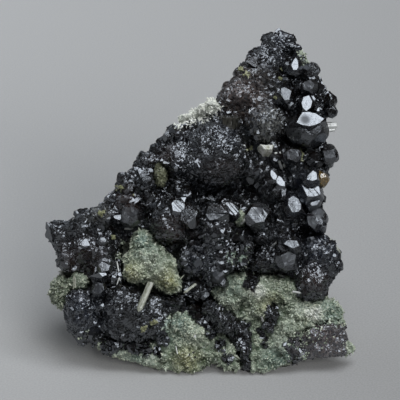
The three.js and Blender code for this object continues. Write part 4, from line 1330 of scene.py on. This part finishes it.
def druse_finish(name, foot_only):
    """Green quartz, for the bed, or for the points with their paler tips."""
    material, tree, shader = new_material(name, IOR=QUARTZ_INDEX)
    cloud = spread(tree, noise(tree, 2.2, 3), 0.35, 0.65)
    colour = blend_colours(tree, cloud, (0.15, 0.21, 0.13), (0.56, 0.63, 0.5))
    for places, tint in DRUSE_TINTS:
        mottled = spread(tree, noise(tree, 1.1), 0.3, 0.6, 0.4, 0.95)
        colour = blend_colours(tree, maths(tree, "MULTIPLY", patches(tree, places), mottled), colour, tint)
    if foot_only:
        # the bed is darker, as chlorite gathers at the feet of the points, and as painted shade under them
        colour = blend_colours(tree, 0.45, colour, DARK_FOOT)
    else:
        height, shade, rise = (attribute(tree, title) for title in ("height", "shade", "rise"))
        light = maths(tree, "ADD", spread(tree, height, 0.2, 1, 0, 0.35), spread(tree, shade, 0.7, 1, 0, 0.6))
        # painted light: points that stand high on the clumps of the bed are painted paler
        light = maths(tree, "ADD", light, spread(tree, rise, -0.2, 0.9, 0, 0.35))
        for share, tint in (
                (spread(tree, shade, 0.0, 0.25, 0.75, 0), SHADED),
                (light, PALE_TIP),
                # painted shade: points low in the clefts of the bed are painted dark
                (spread(tree, rise, -0.75, -0.1, 0.65, 0), PAINTED_CLEFT_SHADE),
                (maths(tree, "MULTIPLY", patches(tree, WHITE), 0.8), WHITE_TIP)):
            colour = blend_colours(tree, share, colour, tint)
    tree.links.new(colour, shader.inputs["Base Color"])
    tree.links.new(spread(tree, noise(tree, 0.5), 0.3, 0.7, 0.12, 0.45), shader.inputs["Roughness"])
    return material


druse_bed_finish = druse_finish("druse_bed", True)
druse_point_finish = druse_finish("druse_points", False)
for finish in (druse_bed_finish, druse_point_finish):
    print(finish.name, "has", len(finish.node_tree.nodes), "shader nodes")

# %% Growing the druse
# across, up, radius and depth, which is less than 0 because the bed swells there
DRUSE_BULGES = [(3.5, 80.5, 6, -4), (-20, 30, 5, -1), (33, 18, 5, -1), (-4, 12, 5, -1.2), (16, 25, 4, -1)]
# spacing, smallest and largest width, shortest and longest for that width, spread of the lean
DRUSE_SIZES = [
    (3.6, 0.16, 0.26, 4, 7, 0.9),
    (1.0, 0.34, 0.7, 1.0, 2.1, 0.9),
    (0.6, 0.28, 0.54, 0.7, 1.4, 0.8),
]


def search_tree(piece):
    return BVHTree.FromPolygons([vertex.co.copy() for vertex in piece.data.vertices],
                                [tuple(face.vertices) for face in piece.data.polygons])


def grow_druse(node, seed):
    """The clumpy bed of a druse, its quartz points, and the black crystals that cover parts of it."""
    bed = copy_of_node(node, node + "_bed")
    fill_creases(bed, 1.4, 0.5, 3)
    smooth_bed = search_tree(bed)
    press_in(bed, DRUSE_BULGES)
    pull_out(bed, PULLS)
    for texture, depth_mm in ((CLUMPS, 2.6), (CELLS, 0.8), (GRAINS, 0.8)):
        roughen(bed, texture, depth_mm)
    finish_piece(bed, druse_bed_finish)
    neighbours = [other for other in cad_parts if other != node]
    plant_druse(bed, node + "_points", smooth_bed, neighbours, seed)
    overgrow(bed, node + "_overgrowth", neighbours, seed)


# %% Black crystals over the druse
def overgrow(bed, name, neighbours, seed):
    """Black crystals that cover parts of a druse bed."""
    random = np.random.default_rng(seed)
    centres, radii = [], []
    for spacing, low, high, *rest in CRUST_SIZES[1:]:
        points, normals = free_points(*points_over(bed, spacing * 0.85, seed), neighbours, 0.06)
        keep = in_places(points, CRUST_OVER_DRUSE, random) & clear_of_proud_crystals(points, high)
        radii.append(random.uniform(low, high, int(keep.sum())) * MM)
        centres.append((points + normals * 0.25 * MM)[keep])
    centres, radii = np.concatenate(centres), np.concatenate(radii)
    if not len(centres):
        return
    turns = domain_turns(centres, 3, random)[0]
    piece = plant(name, SMALL_HABITS, random.integers(1, 4, len(radii)), centres,
                  turns @ slight_turns(random, len(radii), 8),
                  radii[:, None] * random.uniform(*UNEVEN, (len(radii), 3)), 0.8 * random.random(len(radii)))
    finish_piece(piece, crust_finish)


# %% Quartz points
BURIED_SHARE = 0.2


def plant_druse(bed, name, smooth_bed, neighbours, seed, over_crust=False):
    """Quartz points over a bed, or over those parts of a crust where druse grows."""
    random = np.random.default_rng(seed)
    places, turns, sizes, kinds, rises = [], [], [], [], []
    for habit, (spacing, thin, thick, short, tall, lean) in enumerate(DRUSE_SIZES):
        points, normals = points_over(bed, spacing, seed)
        if over_crust:
            keep = in_places(points, DRUSE_OVER_CRUST, random) & (normals @ VIEW_AXIS > -0.3)
        else:
            keep = ~in_places(points, CRUST_OVER_DRUSE, random)
        points, normals = free_points(points[keep], normals[keep], neighbours, 0.06 if over_crust else 0.45)
        keep = clear_of_proud_crystals(points, thick)
        points, normals = points[keep], normals[keep]
        if not len(points):
            continue
        width = random.uniform(thin, thick, len(points)) * MM
        length = width * random.uniform(short, tall, len(points))
        tuft = domain_turns(points, 2.5, random)[0]
        leaning = normals + 0.45 * tuft[:, 0] + random.normal(0, lean, normals.shape)
        grown = 1 + 0.45 * tuft[:, 1, 2]
        turns.append(turns_up(leaning, random))
        places.append(points - normals * (length * BURIED_SHARE)[:, None])
        sizes.append(np.column_stack([width, width, length]) * grown[:, None])
        kinds.append(np.full(len(points), habit))
        nearest = [smooth_bed.find_nearest(Vector(point)) for point in points]
        rises.append(np.array([(Vector(point) - place).dot(normal) / MM
                               for point, (place, normal, *rest) in zip(points, nearest)]))
    if not places:
        return
    kinds, places, turns, sizes, rises = (
        np.concatenate(part) for part in (kinds, places, turns, sizes, rises))
    piece = plant(name, QUARTZ_HABITS, kinds, places, turns, sizes, random.random(len(kinds)), rises)
    finish_piece(piece, druse_point_finish)


# %% The nine druses, and the tufts on the crusts
for number, node in enumerate(sorted(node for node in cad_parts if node.startswith("druse_"))):
    grow_druse(node, 30 + number)
for number, crust in enumerate(crusts):
    plant_druse(crust, crust.name + "_druse", search_tree(crust), others, 50 + number, over_crust=True)

# %% [markdown]
# ## Host rock
# The rock is a fine-grained grey-green wall rock, broken by hand. So its back and sides are flat
# breaks that meet at blunt edges, with a hackly surface between them. Each break is one bisect
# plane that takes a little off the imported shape, and two displacements hackle the result. Grains
# of sphalerite and quartz are scattered through the rock and stand out of the breaks. Its foot
# stays flat, because it stands on it.

# %% The breaks of the rock
# the way each break looks, and how deep it cuts in mm
BREAKS = [
    ((0.15, 1, 0.12), 2.6), ((-0.45, 0.85, 0.3), 3.6), ((0.75, 0.7, 0.15), 3.4), ((1, 0.1, 0.25), 1.2),
    ((0.9, 0.4, -0.3), 2.4), ((-0.7, 0.55, 0.55), 3.4), ((-0.85, 0.5, -0.25), 3), ((0, 0.85, -0.5), 2.6),
    ((0.35, 0.75, 0.6), 3.4), ((-0.15, 0.9, 0.45), 2.6), ((-0.5, 0.75, -0.45), 3), ((0.5, 0.8, -0.4), 3),
]
rock = copy_of_node("host_rock", "rock")
corners = corners_of(rock)
cuts = []
for direction, depth in BREAKS:
    reach = float((corners @ np.array(Vector(direction).normalized())).max())
    cuts.append((direction, reach - depth * MM))
with editing():
    cut_away(cuts)
evened(rock, 0.6, 1)
HACKLES = relief("hackles", "CLOUDS", 4.5)
HACKLES.noise_type = "HARD_NOISE"
SPLINTERS = relief("splinters", "MUSGRAVE", 2.2)
SPLINTERS.musgrave_type = "RIDGED_MULTIFRACTAL"
for texture, depth_mm in ((HACKLES, 2.6), (SPLINTERS, 0.35), (GRAINS, 0.3)):
    roughen(rock, texture, depth_mm)
print("rock faces:", len(rock.data.polygons))

# %% Host rock material
GREY_GREEN, PALE_GREEN, RUST = (0.24, 0.26, 0.21), (0.42, 0.445, 0.37), (0.3, 0.24, 0.15)
DARK_SPECK, PALE_SPECK, VEIN = (0.08, 0.09, 0.07), (0.56, 0.58, 0.49), (0.66, 0.68, 0.62)
rock_finish, tree, shader = new_material("host_rock", IOR=1.5)
colour = blend_colours(tree, spread(tree, noise(tree, 11), 0.4, 0.62), GREY_GREEN, PALE_GREEN)
# a thin vein runs where a broad noise passes through its middle value
vein = maths(tree, "ABSOLUTE", maths(tree, "SUBTRACT", noise(tree, 34, 2, 0.45), 0.5))
vein = spread(tree, vein, 0.0015, 0.005, 0.8, 0)
vein = maths(tree, "MULTIPLY", vein, spread(tree, noise(tree, 9), 0.45, 0.6))
for share, tint in (
        (spread(tree, noise(tree, 7, 4), 0.56, 0.7, 0, 0.6), RUST),
        (spread(tree, noise(tree, 0.7), 0.52, 0.66), DARK_SPECK),
        (spread(tree, noise(tree, 1.3), 0.6, 0.72), PALE_SPECK),
        (vein, VEIN)):
    colour = blend_colours(tree, share, colour, tint)
tree.links.new(colour, shader.inputs["Base Color"])
tree.links.new(spread(tree, noise(tree, 0.9), 0.3, 0.7, 0.5, 0.85), shader.inputs["Roughness"])
surface_bump(tree, shader, noise(tree, 0.5, 5, 0.7), 0.3)
finish_piece(rock, rock_finish)


# %% Grains that stand out of the rock
def grain_finish(name, grain_mm, dark, pale, **sockets):
    """Glassy quartz whose colour runs from dark to pale."""
    material, tree, shader = new_material(name, IOR=QUARTZ_INDEX, **sockets)
    tree.links.new(blend_colours(tree, noise(tree, grain_mm), dark, pale), shader.inputs["Base Color"])
    tree.links.new(spread(tree, noise(tree, 0.4), 0.3, 0.7, 0.15, 0.5), shader.inputs["Roughness"])
    return material


rock_grains = grain_finish("rock_quartz_grains", 0.8, (0.4, 0.42, 0.34), (0.8, 0.81, 0.74))
beside_rock = [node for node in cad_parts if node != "host_rock"]
for name, spacing, kept, finish, slot_name in (
        ("rock_sphalerite_grains", 1.3, 0.16, crystal_finish, "sphalerite_crystal"),
        ("rock_quartz_grains", 0.8, 0.2, rock_grains, "clear_quartz")):
    points, normals = points_over(rock, spacing, 41)
    # the grains gather in wavy bands
    bands = np.sin(points @ np.array([60, 95, 150]) + 2 * np.sin(points @ np.array([120, -80, 60])))
    keep = np.random.default_rng(42).random(len(points)) < kept * np.clip(bands + 0.25, 0, 1)
    keep &= points[:, 2] > 2 * MM
    points, normals = free_points(points[keep], normals[keep], beside_rock, 0.6)
    random = np.random.default_rng(43)
    sizes = random.uniform(0.2, 0.6, (len(points), 3)) * MM
    sizes = sizes * random.uniform(0.7, 1.6, (len(points), 1))
    finish_piece(plant_grains(name, points - normals * 0.1 * MM, sizes, random), finish)

# %% [markdown]
# ## Quartz points and the honey crystal
# The few quartz points that stand alone are milky, see-through and finely striated along their
# length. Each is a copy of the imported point, remeshed finely and rounded, because their tips are
# worn. The striations are noise drawn out along the point. Two white rods on the right edge are
# prisms side by side, and the white wedge is cut by planes from its outline. The honey crystal
# is sphalerite with little iron.

# %% Finishes for clear pieces
def drawn_out(tree, axis, squeeze=0.06):
    """Object coordinates squeezed along an axis, so that noise runs out into streaks."""
    place = object_place(tree)
    back = maths(tree, "MULTIPLY", dot_product(tree, place, axis), squeeze - 1)
    shift = add_node(tree, "VectorMath", {0: axis, "Scale": back}, operation="SCALE").outputs["Vector"]
    return add_node(tree, "VectorMath", {0: place, 1: shift}, operation="ADD").outputs["Vector"]


def clear_finish(name, axis, dark, pale, index=QUARTZ_INDEX, clearness=0.5, roughness=0.2):
    material, tree, shader = new_material(name, IOR=index, Transmission_Weight=clearness, Roughness=roughness)
    streaks = noise(tree, 0.5, 3, place=drawn_out(tree, axis))
    cloud = maths(tree, "MULTIPLY", maths(tree, "ADD", streaks, noise(tree, 1.2)), 0.5)
    colour = blend_colours(tree, spread(tree, cloud, 0.38, 0.62), dark, pale)
    tree.links.new(colour, shader.inputs["Base Color"])
    surface_bump(tree, shader, streaks, 0.12)
    return material


def axis_of(node):
    """The long axis of a packed crystal, from the spread of its corners."""
    corners = numbers(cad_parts[node].data.vertices, "co", 3)
    return Vector(np.linalg.svd(corners - corners.mean(0))[2][0])


def front_of(node):
    """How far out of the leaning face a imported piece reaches, in mm."""
    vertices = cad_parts[node].data.vertices
    return max((vertex.co - FACE_FOOT).dot(TOWARDS_VIEWER) for vertex in vertices) / MM


# %% Rounded quartz points
MILKY = ((0.42, 0.43, 0.33), (0.86, 0.87, 0.76))
CUT_POINTS = ("quartz_white_wedge", "quartz_smoky", "quartz_right_edge")
for node in sorted(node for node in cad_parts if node.startswith("quartz_")):
    if node in CUT_POINTS:
        continue
    piece = copy_of_node(node, node.replace("quartz_", "") + "_quartz_point")
    evened(piece, 0.16, 5)
    piece.data.shade_smooth()
    finish_piece(piece, clear_finish(node + "_finish", axis_of(node), *MILKY))
    print(piece.name, len(piece.data.polygons), "faces")

# %% The honey crystal
HONEY = ((0.03, 0.014, 0.004), (0.4, 0.25, 0.055))
honey_place = (36, 58, front_of("honey_crystal") - 0.2)
piece = crystal_body(honey_place, (2.9, 2.6, 2.6), False, np.random.default_rng(8))
bevel_edges(piece, 0.12, angle_deg=20, segments=2)
piece.name = "honey_faces"
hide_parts("honey_crystal")
honey_finish = clear_finish("honey_finish", Vector((0, 0, 1)), *HONEY, index=SPHALERITE_INDEX,
                            clearness=0.4, roughness=0.1)
finish_piece(piece, honey_finish)
print(piece.name, len(piece.data.polygons), "faces")

# %% The white wedge and the smoky prism, cut from their outlines
WEDGE = [(17.8, 68.4), (21.8, 68.3), (21.7, 67.5), (21.2, 66.9), (19.3, 66.9), (18.7, 67.5)]
SMOKY = [(6.5, 76.5), (11.4, 76.3), (11.1, 73.8), (9.1, 71.9), (7.1, 73.6)]
SMOKY_FRONT = [(7.9, 76.6), (9.6, 76.5), (9.5, 73), (8.9, 72.4), (8.1, 73.1)]
CREAM_WHITE, SMOKE = ((0.5, 0.5, 0.38), (0.98, 0.98, 0.95)), ((0.012, 0.012, 0.01), (0.07, 0.066, 0.055))
wedge = flat_face(FLASH, front_of("quartz_white_wedge") - 1.6, 0.5, WEDGE, random=random, flare_deg=8)
evened(wedge, 0.14, 1)
roughen(wedge, GRAINS, 0.5)
roughen(wedge, relief("crumbs", "CLOUDS", 0.35), 0.3)
smoky_out = front_of("quartz_smoky")
smoky = join_pieces([
    flat_face(DARK, smoky_out - 0.8, 0.5, SMOKY, random=random, flare_deg=20),
    flat_face((-0.2, 0.3, 0.93), smoky_out - 0.5, 0.5, SMOKY_FRONT, random=random, flare_deg=20),
])
bevel_edges(smoky, 0.1)
for piece, node, colours, slot_name in (
        (wedge, "quartz_white_wedge", CREAM_WHITE, "clear_quartz"),
        (smoky, "quartz_smoky", SMOKE, "smoky_quartz")):
    piece.name = node.replace("quartz_", "") + "_quartz_point"
    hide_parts(node)
    finish = clear_finish(node + "_finish", face_direction(0.1, 1, 0), *colours, clearness=0.12)
    finish_piece(piece, finish)
    print(piece.name, len(piece.data.polygons), "faces")


# %% Places on the surface
front_tree = solid_of([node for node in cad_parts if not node.startswith("quartz_")])


def stand(across, up, above):
    """The place of the surface behind a point of the front, raised a little."""
    hit = front_tree.ray_cast(on_face(across, up, 60), -TOWARDS_VIEWER)[0]
    out = (hit - FACE_FOOT).dot(TOWARDS_VIEWER) / MM if hit else 0
    return on_face(across, up, out + above)


# %% The rods at the right edge, which each turn one of their six sides to the lamp
WHITE_QUARTZ = ((0.7, 0.71, 0.68), (0.96, 0.96, 0.94))
rod_out = front_of("quartz_right_edge")
# across and up of the foot and of the tip, and the width in mm
RODS = [(36.8, 74.2, 41.5, 74.3, 2.3), (36.8, 72.7, 41, 73.2, 1.6)]
feet = np.array([on_face(across, up, rod_out) for across, up, *tip_and_width in RODS])
tips = np.array([on_face(across, up, rod_out - 0.8) for *foot, across, up, width in RODS])
turns = []
for axis in tips - feet:
    up = Vector(axis).normalized()
    beside = up.cross(face_direction(*FLASH)).normalized()
    turns.append(np.array([beside.cross(up), beside, up]).T)
width = np.array([rod[-1] for rod in RODS]) * MM
sizes = np.column_stack([width * 0.7, width, np.linalg.norm(tips - feet, axis=1)])
piece = plant("right_edge_quartz_point", [BLUNT_ROD], np.zeros(len(RODS), int), feet, np.array(turns), sizes,
              np.array([0.5, 0.8]))
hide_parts("quartz_right_edge")
along_rods = face_direction(1, -0.05, 0.1)
white_finish = clear_finish("white_quartz_finish", along_rods, *WHITE_QUARTZ, clearness=0.08)
finish_piece(piece, white_finish)

# %% Needles of quartz
# across and up of the foot and of the tip, and the width in mm
NEEDLES = [
    (-24.9, 33.4, -24.3, 30.2, 0.5), (-24.6, 30.6, -23.8, 27.6, 0.45), (-23.9, 29.5, -24.9, 26.4, 0.4),
    (21.9, 30.3, 25.6, 28.7, 0.5), (13.2, 68.2, 14.7, 64.4, 0.5), (22.6, 66, 24.7, 60.8, 0.7),
    (23.7, 66.2, 25.5, 61.4, 0.6), (-22.6, 43.3, -20, 43.3, 0.5), (18.4, 17.2, 18.9, 15.4, 0.6),
    (-1.3, 12.9, -1.6, 10.7, 0.5), (12.3, 44.8, 14.6, 47.5, 0.6), (20.4, 37.2, 24.3, 40.4, 0.5),
    (-7.2, 8.1, -6.7, 5.8, 0.4), (27.6, 24.6, 30.2, 24.2, 0.5),
]
ABOVE_CRUST = 0.6
feet = np.array([stand(across, up, ABOVE_CRUST) for across, up, *tip_and_width in NEEDLES])
tips = np.array([stand(across, up, ABOVE_CRUST + 0.3) for *foot, across, up, width in NEEDLES])
width = np.array([needle[-1] for needle in NEEDLES]) * 1.3 * MM
sizes = np.column_stack([width, width * 0.7, np.linalg.norm(tips - feet, axis=1)])
piece = plant("quartz_needles", [BLUNT_ROD], np.zeros(len(NEEDLES), int), feet, turns_up(tips - feet, random),
              sizes, random.random(len(NEEDLES)))
finish_piece(piece, white_finish)

# %% Yellow-green grains
centres, sizes = [], []
for across, up, half_width, half_height in GRAIN_PLACES:
    for number in range(int(6 + 8 * half_width * half_height)):
        spot = random.uniform(-1, 1, 2) * (half_width, half_height)
        centres.append(stand(across + spot[0], up + spot[1], random.uniform(0.1, 0.9)))
        sizes.append(random.uniform(0.18, 0.48, 3) * MM)
yellow_grains = grain_finish("yellow_green_grains", 0.6, (0.2, 0.21, 0.07), (0.66, 0.66, 0.44),
                             Transmission_Weight=0.2)
piece = plant_grains("yellow_green_grains", np.array(centres), np.array(sizes), random)
finish_piece(piece, yellow_grains)

# %% [markdown]
# ## The olive patch
# The olive patch is massive quartz with a rough, granular skin. It is a roughened copy of the
# packed patch, with small blunt grains planted all over it.

# %% Olive patch
DARK_OLIVE, PALE_OLIVE = (0.05, 0.052, 0.03), (0.3, 0.31, 0.2)
NARROWED = 0.74
olive_finish, tree, shader = new_material("olive_quartz", IOR=QUARTZ_INDEX)
colour = blend_colours(tree, spread(tree, noise(tree, 0.7), 0.35, 0.65), DARK_OLIVE, PALE_OLIVE)
tree.links.new(colour, shader.inputs["Base Color"])
tree.links.new(spread(tree, noise(tree, 0.5), 0.3, 0.7, 0.25, 0.6), shader.inputs["Roughness"])
patch_body = copy_of_node("olive_quartz", "olive_patch")
evened(patch_body, 0.35, 4)
corners = corners_of(patch_body)
middle = corners[:, 0].mean()
corners[:, 0] = middle + (corners[:, 0] - middle) * NARROWED
move_corners(patch_body, corners)
roughen(patch_body, CELLS, 1.4)
roughen(patch_body, GRAINS, 1.2)
finish_piece(patch_body, olive_finish)

# %% Grains on the olive patch
points, normals = points_over(patch_body, 0.5, 21)
sizes = random.uniform(0.2, 0.5, (len(points), 3)) * (1, 1, 1.7) * MM
piece = plant_grains("olive_patch_grains", points, sizes, random)
finish_piece(piece, olive_finish)
